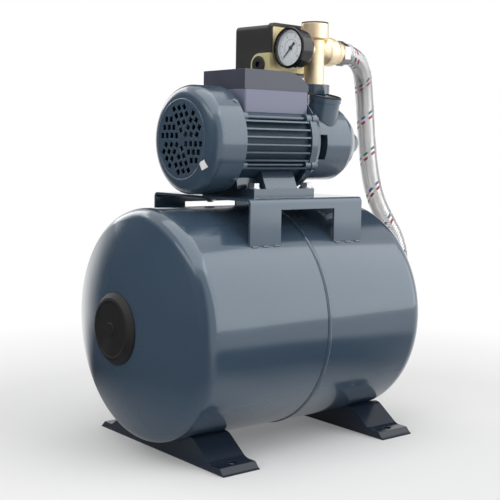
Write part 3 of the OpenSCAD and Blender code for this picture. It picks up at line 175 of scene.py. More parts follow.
def metalGroup(m):
    g, given, result = newGroup("workedMetal", {"Color": (0.6, 0.6, 0.6, 1), "Amount": 0.3,
                                                "Tarnish": (0.3, 0.28, 0.25, 1), "Gloss": 0.3})
    spot = given["Vector"]
    drawn = addNode(g, "ShaderNodeMapping", Vector=spot, Scale=m["lines"]).outputs["Vector"]
    streak = addNode(g, "ShaderNodeTexNoise", Vector=drawn, Scale=1.0, Detail=2.0, Roughness=0.6)
    cloud = addNode(g, "ShaderNodeTexNoise", Vector=spot, Scale=m["cloudScale"], Detail=4.0, Roughness=0.6)
    spread = addNode(g, "ShaderNodeMapRange", Value=cloud.outputs[0], From_Min=m["cloudFrom"],
                     From_Max=m["cloudTo"])
    mask = mathNode(g, "MULTIPLY", spread.outputs[0], given["Amount"], True)
    feed(g, result["Color"], mixColor(g, mask, given["Color"], given["Tarnish"]))
    rough = mathNode(g, "ADD", given["Gloss"], mathNode(g, "MULTIPLY", streak.outputs[0], m["lineDull"]))
    worn = mathNode(g, "MULTIPLY", mask, m["tarnishDull"])
    feed(g, result["Roughness"], mathNode(g, "ADD", rough, worn, True))
    feed(g, result["Height"], streak.outputs[0])
    return g


# moulded plastic or rubber: fine grain and faint handling marks
mouldLook = {"smearScale": 24.0, "smearBend": 0.6, "smearFrom": 0.45, "smearColor": (0.35, 0.35, 0.36, 1),
             "glossDrift": 0.25}


def mouldGroup(m):
    g, given, result = newGroup("mouldedGrain", {"Color": (0.02, 0.02, 0.02, 1), "Grain": 1500.0,
                                                 "Gloss": 0.4, "Marks": 0.1})
    spot = given["Vector"]
    grain = addNode(g, "ShaderNodeTexNoise", Vector=spot, Scale=given["Grain"], Detail=2.0, Roughness=0.7)
    smear = addNode(g, "ShaderNodeTexNoise", Vector=spot, Scale=m["smearScale"], Detail=5.0, Roughness=0.65,
                    Distortion=m["smearBend"])
    rubbed = mathNode(g, "SUBTRACT", smear.outputs[0], m["smearFrom"])
    tone = mathNode(g, "MULTIPLY", rubbed, given["Marks"], True)
    feed(g, result["Color"], mixColor(g, tone, given["Color"], m["smearColor"]))
    rough = mathNode(g, "MULTIPLY", mathNode(g, "SUBTRACT", smear.outputs[0], 0.5), m["glossDrift"])
    feed(g, result["Roughness"], mathNode(g, "ADD", given["Gloss"], rough, True))
    feed(g, result["Height"], grain.outputs[0])
    return g


groups = {"paint": paintGroup(sprayLook), "metal": metalGroup(metalLook), "mould": mouldGroup(mouldLook)}


def newMaterial(name, shader):
    mat = bpy.data.materials.new(name)
    mat.use_nodes = True
    bsdf = mat.node_tree.nodes["Principled BSDF"]
    for key, value in shader.items():
        bsdf.inputs[key].default_value = value
    return mat, mat.node_tree, bsdf.inputs


# how round the edges look and how deep the relief is, in metres
reliefSet = {"paint": {"edge": 0.0009, "depth": 0.0004}, "metal": {"edge": 0.0004, "depth": 0.0003},
             "mould": {"edge": 0.0007, "depth": 0.0003}}


def finishMaterial(name, kind, values, bump, shader, turn=None):
    mat, tree, surface = newMaterial(name, shader)
    spot = objectSpot(tree)
    if turn:
        spot = addNode(tree, "ShaderNodeMapping", Vector=spot, Rotation=turn).outputs["Vector"]
    skin = addNode(tree, "ShaderNodeGroup", node_tree=groups[kind])
    feed(tree, skin.inputs["Vector"], spot)
    for key, value in values.items():
        skin.inputs[key].default_value = value
    feed(tree, surface["Base Color"], skin.outputs["Color"])
    feed(tree, surface["Roughness"], skin.outputs["Roughness"])
    # edges catch the light as broken or rolled ones do
    edge = addNode(tree, "ShaderNodeBevel", samples=4, Radius=reliefSet[kind]["edge"])
    relief = addNode(tree, "ShaderNodeBump", Strength=bump, Distance=reliefSet[kind]["depth"],
                     Height=skin.outputs["Height"], Normal=edge.outputs["Normal"])
    feed(tree, surface["Normal"], relief.outputs["Normal"])
    return mat


mats = {}

# paints: the spray, then how its surface shines
# painted reflection colour: the Specular Tint casts the paint's reflections blue, for bluish light
glossCoat = {"Coat Weight": 0.85, "Coat Roughness": 0.08, "IOR": 1.5, "Specular Tint": (0.74, 0.90, 1.0, 1)}
tankSpray = {"Color": (0.042, 0.068, 0.103, 1), "Drift": 0.10, "Gloss": 0.20, "Peel": 700.0}
motorSpray = {"Color": (0.044, 0.071, 0.106, 1), "Drift": 0.14, "Gloss": 0.26, "Peel": 1100.0}
# painted shade: the feet take a far darker copy of the tank's slate paint
footShadeSpray = {"Color": (0.013, 0.021, 0.036, 1), "Drift": 0.12, "Gloss": 0.16, "Peel": 800.0}
boxSpray = {"Color": (0.180, 0.196, 0.272, 1), "Drift": 0.10, "Gloss": 0.30, "Peel": 1000.0}
paintSet = {
    "tankPaint": (tankSpray, glossCoat),
    "motorPaint": (motorSpray, glossCoat),
    "finnedPaint": (motorSpray, glossCoat),
    "footShadedPaint": (footShadeSpray, {"IOR": 1.36}),
    "boxPaint": (boxSpray, {"IOR": 1.42}),
}
paintBump = 0.08
for paintName, (values, coat) in paintSet.items():
    mats[paintName] = finishMaterial(paintName, "paint", values, paintBump, coat)

# metals; their fine lines run round an upright axis, or round the shaft's
metalSet = {
    "plated": {"Color": (0.50, 0.51, 0.53, 1), "Amount": 0.30, "Gloss": 0.30},
    "bright": {"Color": (0.72, 0.72, 0.74, 1), "Amount": 0.12, "Gloss": 0.18},
    "nickel": {"Color": (0.44, 0.44, 0.45, 1), "Amount": 0.20, "Gloss": 0.20},
    "brass": {"Color": (0.86, 0.71, 0.50, 1), "Tarnish": (0.70, 0.52, 0.30, 1), "Amount": 0.35,
              "Gloss": 0.36},
    "zincYellow": {"Color": (0.80, 0.75, 0.38, 1), "Tarnish": (0.82, 0.62, 0.48, 1), "Amount": 0.6,
                   "Gloss": 0.42},
    "laminate": {"Color": (0.22, 0.23, 0.25, 1), "Amount": 0.4, "Gloss": 0.45},
    "copper": {"Color": (0.45, 0.16, 0.06, 1), "Tarnish": (0.25, 0.09, 0.04, 1), "Amount": 0.5,
               "Gloss": 0.35},
}
metalBump = 0.10
roundShaft = (0, math.pi / 2, 0)
lineTurn = {"bright": roundShaft, "laminate": roundShaft}
metalness = {"zincYellow": 0.55}   # a plated film, so partly dull
for metalName, values in metalSet.items():
    shader = {"Metallic": metalness.get(metalName, 1.0)}
    turn = lineTurn.get(metalName)
    mats[metalName] = finishMaterial(metalName, "metal", values, metalBump, shader, turn)

# plastics, rubber and print, each with the strength of its grain
mouldSet = {
    "lidBlack": ({"Color": (0.056, 0.062, 0.088, 1), "Grain": 1400.0, "Gloss": 0.34, "Marks": 0.10}, 0.10),
    "coverBlack": ({"Color": (0.024, 0.024, 0.025, 1), "Grain": 1700.0, "Gloss": 0.48, "Marks": 0.08}, 0.16),
    "capBlack": ({"Color": (0.012, 0.012, 0.013, 1), "Grain": 1800.0, "Gloss": 0.58, "Marks": 0.08}, 0.16),
    "gaugeBlack": ({"Color": (0.007, 0.007, 0.009, 1), "Grain": 1600.0, "Gloss": 0.16, "Marks": 0.06}, 0.06),
    "fanBlack": ({"Color": (0.020, 0.020, 0.022, 1), "Grain": 900.0, "Gloss": 0.50, "Marks": 0.15}, 0.15),
    "rubberBlack": ({"Color": (0.012, 0.012, 0.012, 1), "Grain": 1100.0, "Gloss": 0.62, "Marks": 0.20}, 0.2),
    "paleMould": ({"Color": (0.74, 0.72, 0.64, 1), "Grain": 1200.0, "Gloss": 0.45, "Marks": 0.10}, 0.1),
    "darkMould": ({"Color": (0.05, 0.035, 0.03, 1), "Grain": 1000.0, "Gloss": 0.45, "Marks": 0.10}, 0.1),
    "sealFace": ({"Color": (0.30, 0.29, 0.28, 1), "Grain": 900.0, "Gloss": 0.2, "Marks": 0.10}, 0.05),
    "dialPrint": ({"Color": (0.84, 0.87, 0.90, 1), "Grain": 1500.0, "Gloss": 0.45, "Marks": 0.04}, 0.03),
    "inkBlack": ({"Color": (0.015, 0.015, 0.018, 1), "Grain": 1500.0, "Gloss": 0.5, "Marks": 0.03}, 0.03),
    "plainTag": ({"Color": (0.80, 0.80, 0.78, 1), "Grain": 1500.0, "Gloss": 0.42, "Marks": 0.06}, 0.03),
}
for mouldName, (values, bump) in mouldSet.items():
    mats[mouldName] = finishMaterial(mouldName, "mould", values, bump, {"IOR": 1.48})

# drawn sheet is never quite true, so the tank's reflections waver a little
waveSet = {"scale": 13.0, "depth": 0.0016}


def waverSheet(mat, w):
    tree = mat.node_tree
    relief = nodeOf(tree, "BUMP")
    wave = addNode(tree, "ShaderNodeTexNoise", Vector=objectSpot(tree), Scale=w["scale"], Detail=1.0,
                   Roughness=0.4)
    sway = addNode(tree, "ShaderNodeBump", Strength=1.0, Distance=w["depth"], Height=wave.outputs[0],
                   Normal=nodeOf(tree, "BEVEL").outputs["Normal"])
    feed(tree, relief.inputs["Normal"], sway.outputs["Normal"])


waverSheet(mats["tankPaint"], waveSet)

# painted shade: between the fins of the motor's frame the colour darkens towards the groove floors, where
# the coat thins and the paint is duller
grooveShadeSet = {"axisHeight": 0.369, "root": 0.0536, "tip": 0.0595, "color": (0.020, 0.040, 0.066, 1),
             "dull": 0.25}


def dullGrooves(mat, f):
    tree = mat.node_tree
    surface = tree.nodes["Principled BSDF"].inputs
    skin = nodeOf(tree, "GROUP").outputs
    axes = splitAxes(tree, objectSpot(tree))
    reach = lengthNode(tree, axes["Y"], mathNode(tree, "SUBTRACT", axes["Z"], f["axisHeight"]))
    spread = addNode(tree, "ShaderNodeMapRange", Value=reach, From_Min=f["root"], From_Max=f["tip"])
    outward = spread.outputs[0]
    # painted shade: the colour darkens towards the groove floors
    feed(tree, surface["Base Color"], mixColor(tree, outward, f["color"], skin["Color"]))
    feed(tree, surface["Coat Weight"], mathNode(tree, "MULTIPLY", outward, glossCoat["Coat Weight"]))
    dull = mathNode(tree, "MULTIPLY", mathNode(tree, "SUBTRACT", 1.0, outward), f["dull"])
    feed(tree, surface["Roughness"], mathNode(tree, "ADD", skin["Roughness"], dull, True))


dullGrooves(mats["finnedPaint"], grooveShadeSet)

# clear gauge window: a thin sheet with a faint film of dust
windowSet = {"tint": (0.60, 0.66, 0.72, 1), "gloss": 0.05, "filmScale": 160.0, "film": 0.06, "sheet": 0.03}


def windowMaterial(w):
    mat, tree, surface = newMaterial("gaugeWindow", {"Base Color": w["tint"], "Roughness": w["gloss"]})
    film = addNode(tree, "ShaderNodeTexNoise", Vector=objectSpot(tree), Scale=w["filmScale"], Detail=3.0)
    dusty = mathNode(tree, "MULTIPLY", film.outputs[0], w["film"])
    feed(tree, surface["Alpha"], mathNode(tree, "ADD", dusty, w["sheet"]))
    return mat


mats["window"] = windowMaterial(windowSet)

# printed scale of the gauge: two arcs with ticks, over 270 degrees; sizes in metres
fittingTurn = math.radians(6)   # the brass fitting stands turned by this, with all that it carries
dialSet = {
    "turn": fittingTurn, "sweep": 270, "steps": 10, "overrun": 0.6, "ink": (0.02, 0.02, 0.025, 1),
    "arcs": [{"reach": 0.0196, "inside": 0.0001, "outside": 0.00015,
              "ticks": [{"perStep": 1, "half": 0.00022, "long": 0.0026},
                        {"perStep": 5, "half": 0.0001, "long": 0.0013}]},
             {"reach": 0.0112, "inside": 0.0001, "outside": 0.0001,
              "ticks": [{"perStep": 1.4, "half": 0.00016, "long": 0.0019},
                        {"perStep": 7, "half": 0.00008, "long": 0.0009}]}],
}
dialSpot = sum((Vector(v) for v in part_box("gauge_dial")), Vector()) / 2


def printDial(mat, d):
    tree = mat.node_tree
    face = addNode(tree, "ShaderNodeMapping", vector_type="TEXTURE", Vector=objectSpot(tree),
                   Location=dialSpot, Rotation=(0, 0, d["turn"]))
    axes = splitAxes(tree, face.outputs["Vector"])
    right, up = mathNode(tree, "MULTIPLY", axes["Y"], -1.0), axes["Z"]
    reach = lengthNode(tree, right, up)
    turn = mathNode(tree, "MULTIPLY", mathNode(tree, "ARCTAN2", right, up), 180 / math.pi)
    step = mathNode(tree, "ADD", mathNode(tree, "MULTIPLY", turn, d["steps"] / d["sweep"]), d["steps"] / 2)

    def ticks(t, arc):   # half is the tick's half width
        count = mathNode(tree, "ADD", mathNode(tree, "MULTIPLY", step, t["perStep"]), 0.5)
        off = mathNode(tree, "ABSOLUTE", mathNode(tree, "SUBTRACT", mathNode(tree, "FRACT", count), 0.5))
        pitch = math.radians(d["sweep"]) / d["steps"] / t["perStep"]
        away = mathNode(tree, "MULTIPLY", mathNode(tree, "MULTIPLY", off, reach), pitch)
        slim = mathNode(tree, "LESS_THAN", away, t["half"])
        return mathNode(tree, "MULTIPLY", slim, band(tree, reach, arc["reach"] - t["long"], arc["reach"]))

    marks = 0.0
    for arc in d["arcs"]:
        line = band(tree, reach, arc["reach"] - arc["inside"], arc["reach"] + arc["outside"])
        for mark in [line] + [ticks(t, arc) for t in arc["ticks"]]:
            marks = mathNode(tree, "ADD", marks, mark, True)
    limit = d["sweep"] / 2 + d["overrun"]
    printed = mathNode(tree, "MULTIPLY", marks, band(tree, turn, -limit, limit))
    plain = nodeOf(tree, "GROUP").outputs["Color"]
    feed(tree, tree.nodes["Principled BSDF"].inputs["Base Color"], mixColor(tree, printed, plain, d["ink"]))


printDial(mats["dialPrint"], dialSet)
print("materials made:", len(mats))

finishOf = {
    "tankPaint": ["tank_shell_left", "tank_shell_right", "mouth_ring", "platform"],
    "footShadedPaint": ["foot_left", "foot_right"],
    "motorPaint": ["motor_foot", "rear_shield", "fan_cover", "cover_screws", "pump_bracket", "pump_casing"],
    "finnedPaint": ["motor_frame", "tie_bolts"],
    "boxPaint": ["terminal_box"],
    "plated": ["tank_flange", "flange_bolts", "foot_bolts", "terminal_screws", "casing_bolts"],
    "bright": ["motor_shaft", "bearing_outer_rings", "bearing_inner_rings", "bearing_balls",
               "switch_plunger", "switch_springs"],
    "nickel": ["hose_nuts", "hose_ferrules"],
    "brass": ["five_way_fitting", "tank_elbow", "air_valve", "gauge_stem", "switch_neck", "impeller"],
    "zincYellow": ["switch_base", "switch_lever"],
    "laminate": ["stator_core", "rotor_core"],
    "copper": ["stator_winding"],
    "lidBlack": ["terminal_cover"],
    "coverBlack": ["switch_cover", "cable_gland"],
    "capBlack": ["air_valve_cap"],
    "gaugeBlack": ["gauge_case", "gauge_bezel"],
    "fanBlack": ["cooling_fan"],
    "rubberBlack": ["membrane", "casing_seal", "port_gaskets", "switch_grommet"],
    "paleMould": ["terminal_block", "capacitor"],
    "darkMould": ["switch_contacts"],
    "sealFace": ["seal_seat", "seal_ring"],
    "dialPrint": ["gauge_dial"],
    "inkBlack": ["gauge_pointer"],
    "window": ["gauge_lens"],
}
for matName, members in finishOf.items():
    for member in members:
        slots = nodes[member].data.materials
        slots.clear()
        slots.append(mats[matName])
print("finishes on the frame")

# braided hose: the route of its middle line in metres, as in the frame
hoseSet = {
    "route": [(0.115, 0.006, 0.487), (0.124, 0.007, 0.487), (0.138, 0.009, 0.485), (0.152, 0.014, 0.480),
              (0.165, 0.020, 0.471), (0.175, 0.026, 0.459), (0.182, 0.031, 0.445), (0.187, 0.034, 0.429),
              (0.191, 0.036, 0.411), (0.194, 0.037, 0.393), (0.197, 0.038, 0.375), (0.200, 0.038, 0.357),
              (0.202, 0.037, 0.339), (0.204, 0.035, 0.321), (0.206, 0.031, 0.303), (0.209, 0.026, 0.286),
              (0.213, 0.019, 0.270), (0.219, 0.012, 0.255), (0.225, 0.005, 0.240), (0.229, 0.001, 0.223),
              (0.230, 0.000, 0.206), (0.230, 0.000, 0.194)],
    "radius": 0.0125, "sides": 40, "stepsPerSpan": 6, "easings": 2,
}


def smoothRoute(h):
    pts = [Vector(p) for p in h["route"]]
    for _ in range(h["easings"]):   # ease the listed points a little, all but two at each end
        inner = [(pts[i - 1] + pts[i] * 4 + pts[i + 1]) / 6 for i in range(2, len(pts) - 2)]
        pts = pts[:2] + inner + pts[-2:]
    out = []
    for i in range(len(pts) - 1):
        p0 = pts[max(i - 1, 0)]
        p1, p2 = pts[i], pts[i + 1]
        p3 = pts[min(i + 2, len(pts) - 1)]
        for k in range(h["stepsPerSpan"]):
            t = k / h["stepsPerSpan"]
            out.append(0.5 * (2 * p1 + (p2 - p0) * t + (2 * p0 - 5 * p1 + 4 * p2 - p3) * t * t
                              + (3 * p1 - p0 - 3 * p2 + p3) * t ** 3))
    out.append(pts[-1])
    return out


def makeHose(h):
    line = smoothRoute(h)
    side = Vector((0, 0, 1))
    verts, faces, uvs = [], [], []
    n = h["sides"]
    along = 0.0
    runs = []
    for i, p in enumerate(line):
        d = (line[min(i + 1, len(line) - 1)] - line[max(i - 1, 0)]).normalized()
        side = (side - d * side.dot(d)).normalized()   # carried along, so the braid doesn't twist
        other = d.cross(side)
        if i:
            along += (p - line[i - 1]).length
        runs.append(along)
        for k in range(n):
            a = 2 * math.pi * k / n
            verts.append(p + (side * math.cos(a) + other * math.sin(a)) * h["radius"])
    for i in range(len(line) - 1):
        for k in range(n):
            a, b = i * n + k, i * n + (k + 1) % n
            faces.append((a, b, b + n, a + n))
            left, right = k / n, (k + 1) / n
            uvs += [(left, runs[i]), (right, runs[i]), (right, runs[i + 1]), (left, runs[i + 1])]
    faces.append(tuple(range(n - 1, -1, -1)))
    faces.append(tuple(range((len(line) - 1) * n, len(line) * n)))
    uvs += [(0, 0)] * (2 * n)
    mesh = bpy.data.meshes.new("braidedHose")
    mesh.from_pydata(verts, [], faces)
    layer = mesh.uv_layers.new(name="braid")
    for loop, uv in zip(layer.data, uvs):
        loop.uv = uv
    hose = bpy.data.objects.new("braidedHose", mesh)
    bpy.context.scene.collection.objects.link(hose)
    mesh.shade_smooth()
    return hose, [tuple(p) for p in line], along


# wire braid: two families of strands that cross over and under by twos, with two tracer threads
braidSet = {"strands": 14, "lead": 0.052, "redStrand": 4.0, "coolStrand": 6.0, "shift": 2400.0, "wires": 6,
            "wireDepth": 0.18, "threadEdge": 0.12, "gapShadeFall": 1.6, "gapShadeColor": (0.05, 0.05, 0.05, 1),
            "layDull": (0.60, 0.60, 0.60, 1), "layBright": (0.90, 0.90, 0.90, 1),
            "red": (0.50, 0.015, 0.05, 1), "blue": (0.01, 0.08, 0.36, 1), "green": (0.005, 0.20, 0.14, 1),
            "dyeScale": 14.0, "metal": 0.92, "gloss": 0.24, "threadDull": 0.3, "bump": 0.8, "depth": 0.0008}


def braidMaterial(b):
    mat, tree, surface = newMaterial("wireBraid", {})
    uv = addNode(tree, "ShaderNodeUVMap", uv_map="braid").outputs["UV"]
    axes = splitAxes(tree, uv)
    around = mathNode(tree, "MULTIPLY", axes["X"], b["strands"])
    along = mathNode(tree, "MULTIPLY", axes["Y"], b["strands"] / b["lead"])
    # the shift keeps both counts above zero
    first = mathNode(tree, "ADD", mathNode(tree, "SUBTRACT", around, along), b["shift"])
    second = mathNode(tree, "ADD", mathNode(tree, "ADD", around, along), b["shift"])
    firstCount, secondCount = (mathNode(tree, "FLOOR", v) for v in (first, second))
    firstShare, secondShare = (mathNode(tree, "FRACT", v) for v in (first, second))
    crossing = mathNode(tree, "MODULO", mathNode(tree, "ADD", firstCount, secondCount), 4.0)
    firstOnTop = mathNode(tree, "LESS_THAN", crossing, 1.5)   # over two, under two

    def crown(share):   # round top of a strand, 0 at its edges
        off = mathNode(tree, "ABSOLUTE", mathNode(tree, "SUBTRACT", share, 0.5))
        fall = mathNode(tree, "MULTIPLY", mathNode(tree, "MULTIPLY", off, off), 4.0)
        return mathNode(tree, "SUBTRACT", 1.0, fall)

    def wired(share):   # single wires on a strand's crown
        wave = mathNode(tree, "SINE", mathNode(tree, "MULTIPLY", share, 2 * math.pi * b["wires"]))
        return mathNode(tree, "ADD", crown(share), mathNode(tree, "MULTIPLY", wave, b["wireDepth"]))

    def pick(x, y):   # the value of the strand that lies on top
        ofFirst = mathNode(tree, "MULTIPLY", x, firstOnTop)
        ofSecond = mathNode(tree, "MULTIPLY", y, mathNode(tree, "SUBTRACT", 1.0, firstOnTop))
        return mathNode(tree, "ADD", ofFirst, ofSecond)

    def thread(index):   # one strand of the first family, where it lies on top
        turn = mathNode(tree, "MODULO", firstCount, float(b["strands"]))
        off = mathNode(tree, "ABSOLUTE", mathNode(tree, "SUBTRACT", turn, index))
        inside = band(tree, firstShare, b["threadEdge"], 1 - b["threadEdge"])
        strand = mathNode(tree, "MULTIPLY", mathNode(tree, "LESS_THAN", off, 0.5), inside)
        return mathNode(tree, "MULTIPLY", strand, firstOnTop)

    red, cool = thread(b["redStrand"]), thread(b["coolStrand"])
    # painted shade: the colour darkens at each strand's edges and in the hollows between strands
    hollow = mathNode(tree, "SUBTRACT", 1.0, pick(crown(firstShare), crown(secondShare)))
    gap = mathNode(tree, "POWER", hollow, b["gapShadeFall"], True)
    lay = mixColor(tree, firstOnTop, b["layDull"], b["layBright"])   # the two ways catch the light apart
    wire = mixColor(tree, gap, lay, b["gapShadeColor"])
    dye = addNode(tree, "ShaderNodeTexNoise", Vector=uv, Scale=b["dyeScale"], Detail=1.0)
    coolTone = mixColor(tree, mathNode(tree, "GREATER_THAN", dye.outputs[0], 0.5), b["blue"], b["green"])
    feed(tree, surface["Base Color"], mixColor(tree, cool, mixColor(tree, red, wire, b["red"]), coolTone))
    threads = mathNode(tree, "ADD", red, cool, True)
    bare = mathNode(tree, "MULTIPLY", threads, b["metal"])
    feed(tree, surface["Metallic"], mathNode(tree, "SUBTRACT", b["metal"], bare))
    dull = mathNode(tree, "MULTIPLY", threads, b["threadDull"])
    feed(tree, surface["Roughness"], mathNode(tree, "ADD", b["gloss"], dull))
    relief = addNode(tree, "ShaderNodeBump", Strength=b["bump"], Distance=b["depth"],
                     Height=pick(wired(firstShare), wired(secondShare)))
    feed(tree, surface["Normal"], relief.outputs["Normal"])
    return mat


hose, hoseLine, hoseLength = makeHose(hoseSet)
hose.data.materials.append(braidMaterial(braidSet))
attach(hose, "base")
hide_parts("hose")
print("hose made:", round(hoseLength, 3), "m")


# modelling helpers
def deselectAll():
    bpy.ops.object.select_all(action="DESELECT")


def openMesh():   # edit mode with the whole mesh selected
    bpy.ops.object.mode_set(mode="EDIT")
    bpy.ops.mesh.select_all(action="SELECT")


def closeMesh():
    bpy.ops.object.mode_set(mode="OBJECT")


def selectAll(pieces):   # the first is the active one
    deselectAll()
    for piece in pieces:
        piece.select_set(True)
    bpy.context.view_layer.objects.active = pieces[0]


# numbers on the dial, upright, at every second step of the scale
numberSet = {"every": 2, "reach": 0.0150, "size": 0.0036, "thick": 0.00003, "lift": 0.00056}


def makeNumbers(d, n):
    out = Vector((-math.cos(d["turn"]), -math.sin(d["turn"]), 0))
    right = Vector((math.sin(d["turn"]), -math.cos(d["turn"]), 0))
    up = Vector((0, 0, 1))
    stand = Matrix((right, up, out)).transposed().to_4x4()
    made = []
    for k in range(0, d["steps"] + 1, n["every"]):
        bpy.ops.object.text_add()
        label = bpy.context.object
        label.data.body = str(k)
        label.data.size = n["size"]
        label.data.align_x = label.data.align_y = "CENTER"
        label.data.extrude = n["thick"]
        bpy.ops.object.convert(target="MESH")
        a = math.radians(d["sweep"] * (k / d["steps"] - 0.5))
        spoke = right * math.sin(a) + up * math.cos(a)
        stand.translation = dialSpot + out * n["lift"] + spoke * n["reach"]
        label.matrix_world = stand
        made.append(label)
    selectAll(made)
    bpy.ops.object.join()
    bpy.ops.object.transform_apply()
    made[0].name = "dialNumbers"
    made[0].data.materials.clear()
    made[0].data.materials.append(mats["inkBlack"])
    return made[0]


dialNumbers = makeNumbers(dialSet, numberSet)
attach(dialNumbers, "base")
print("dial numbered")

# plain white tag stuck over the shoulder of the fan cover; paper is the share of the gap that it fills
tagSet = {"place": (-0.1490, -0.0437, 0.3403), "facing": (-0.90, -0.38, -0.22), "side": 0.0098, "turn": 28,
          "cuts": 11, "gap": 0.00012, "paper": 0.8}


def makeTag(t):
    deselectAll()
    bpy.ops.mesh.primitive_plane_add(size=t["side"])
    tag = bpy.context.object
    tag.name = "plainTag"
    openMesh()
    bpy.ops.mesh.subdivide(number_cuts=t["cuts"])
    closeMesh()
    lean = Vector(t["facing"]).to_track_quat("Z", "Y").to_matrix().to_4x4()
    spin = Matrix.Rotation(math.radians(t["turn"]), 4, "Z")
    tag.matrix_world = Matrix.Translation(t["place"]) @ lean @ spin
    bpy.ops.object.transform_apply()
    wrap = tag.modifiers.new("lieOn", "SHRINKWRAP")
    wrap.target = nodes["fan_cover"]
    wrap.offset = t["gap"]
    wrap.wrap_mode = "ABOVE_SURFACE"
    bpy.ops.object.modifier_apply(modifier="lieOn")
    skin = tag.modifiers.new("paper", "SOLIDIFY")
    skin.thickness = t["gap"] * t["paper"]
    skin.offset = -1
    bpy.ops.object.modifier_apply(modifier="paper")
    tag.data.materials.append(mats["plainTag"])
    return tag


tag = makeTag(tagSet)
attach(tag, "base")
print("tag stuck on")

# main spring of the pressure switch, wound as a coil
springSet = {"turn": fittingTurn, "coil": 0.0055, "wire": 0.0008, "turns": 6, "steps": 28, "sides": 10,
             "merge": 1e-6, "keep": 0.74}


def makeSpring(p):
    low, high = (Vector(v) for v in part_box("switch_springs"))
    axis = Vector((-math.sin(p["turn"]), math.cos(p["turn"]), 0))
    across = 2 * (p["coil"] + p["wire"]) * math.sin(p["turn"])
    length = (high.y - low.y - across) / math.cos(p["turn"])
    deselectAll()
    bpy.ops.mesh.primitive_circle_add(vertices=p["sides"], radius=p["wire"],
                                      location=(p["coil"], 0, p["wire"]), rotation=(math.pi / 2, 0, 0))
    spring = bpy.context.object
    spring.name = "switchSpring"
    bpy.ops.object.transform_apply()
    wind = spring.modifiers.new("wind", "SCREW")
    wind.axis = "Z"
    wind.steps = wind.render_steps = p["steps"]
    wind.iterations = p["turns"]
    wind.screw_offset = (length - 2 * p["wire"]) / p["turns"]
    bpy.ops.object.modifier_apply(modifier="wind")
    openMesh()
    bpy.ops.mesh.remove_doubles(threshold=p["merge"])
    bpy.ops.mesh.fill_holes(sides=0)
    bpy.ops.mesh.normals_make_consistent(inside=False)
    closeMesh()
    foot = (low + high) / 2 - axis * length / 2
    spring.matrix_world = Matrix.Translation(foot) @ axis.to_track_quat("Z", "Y").to_matrix().to_4x4()
    bpy.ops.object.transform_apply()
    bpy.ops.object.shade_smooth()
    spring.data.materials.append(mats["bright"])
    return spring, axis, foot + axis * length


switchSpring, springAxis, springSeat = makeSpring(springSet)
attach(switchSpring, "base")
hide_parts("switch_springs")
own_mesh(switchSpring)
print("switch spring wound")

# round weld over the joint of the two tank shells
seamSet = {"place": (-0.031, 0.0, 0.1523), "reach": 0.1370, "bead": 0.0020, "flat": 1.35, "around": 420,
           "across": 12, "grain": 0.0045, "lift": 0.0007}


def makeSeam(m):
    deselectAll()
    bpy.ops.mesh.primitive_torus_add(major_segments=m["around"], minor_segments=m["across"],
                                     major_radius=m["reach"], minor_radius=m["bead"],
                                     rotation=(0, math.pi / 2, 0))
    seam = bpy.context.object
    seam.name = "seamWeld"
    bpy.ops.object.transform_apply()
    openMesh()
    bpy.ops.transform.resize(value=(m["flat"], 1, 1), center_override=(0, 0, 0))
    bpy.ops.transform.translate(value=m["place"])
    closeMesh()
    bpy.context.scene.cursor.location = (0, 0, 0)
    bpy.ops.object.origin_set(type="ORIGIN_CURSOR")
    lumps = bpy.data.textures.new("weldLumps", "CLOUDS")
    lumps.noise_scale = m["grain"]
    ripple = seam.modifiers.new("ripple", "DISPLACE")
    ripple.texture = lumps
    ripple.strength = m["lift"]
    ripple.mid_level = 0.5
    bpy.ops.object.modifier_apply(modifier="ripple")
    bpy.ops.object.shade_smooth()
    seam.data.materials.append(mats["tankPaint"])
    return seam


seamWeld = makeSeam(seamSet)
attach(seamWeld, "base")
print("tank seam welded")

# short weld runs where the platform's legs stand on the tank: overlapping ripples, laid aslant
weldSet = {"legWidth": 0.046, "shares": (0.14, 0.5, 0.86), "drop": 0.0006, "out": 0.0004, "lean": 42,
           "ripple": (0.0021, 0.0016, 0.0015), "slant": 14, "segments": 14, "rings": 8, "ripples": 4,
           "step": 0.0019}


def makeWeld(w):
    deselectAll()
    bpy.ops.mesh.primitive_uv_sphere_add(segments=w["segments"], ring_count=w["rings"], radius=1.0)
    run = bpy.context.object
    run.name = "weldRun"
    openMesh()
    bpy.ops.transform.resize(value=w["ripple"])
    bpy.ops.transform.rotate(value=math.radians(w["slant"]), orient_axis="Z", center_override=(0, 0, 0))
    closeMesh()
    ripples = run.modifiers.new("ripples", "ARRAY")
    ripples.count = w["ripples"]
    ripples.use_relative_offset = False
    ripples.use_constant_offset = True
    ripples.constant_offset_displace = (w["step"], 0, 0)
    bpy.ops.object.modifier_apply(modifier="ripples")
    openMesh()
    bpy.ops.transform.translate(value=(-w["step"] * (w["ripples"] - 1) / 2, 0, 0))
    closeMesh()
    bpy.ops.object.shade_smooth()
    run.data.materials.append(mats["tankPaint"])
    return run


def placeWelds(w):
    first = makeWeld(w)
    low, high = (Vector(v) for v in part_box("platform"))
    spots = []
    for edge in (low.x, high.x - w["legWidth"]):
        for share in w["shares"]:
            for side in (-1, 1):
                spots.append((edge + share * w["legWidth"], side))
    made = [first]
    for _ in spots[1:]:
        twin = first.copy()
        twin.data = first.data.copy()
        bpy.context.scene.collection.objects.link(twin)
        made.append(twin)
    for k, (run, (x, side)) in enumerate(zip(made, spots)):
        run.name = "weldRun%02d" % (k + 1)
        run.location = (x, side * (high.y + w["out"]), low.z - w["drop"])
        run.rotation_euler = (math.radians(-side * w["lean"]), 0, 0)
    selectAll(made)
    bpy.ops.object.transform_apply()
    return made


welds = placeWelds(weldSet)
for run in welds:
    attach(run, "base")
print("weld runs placed:", len(welds))

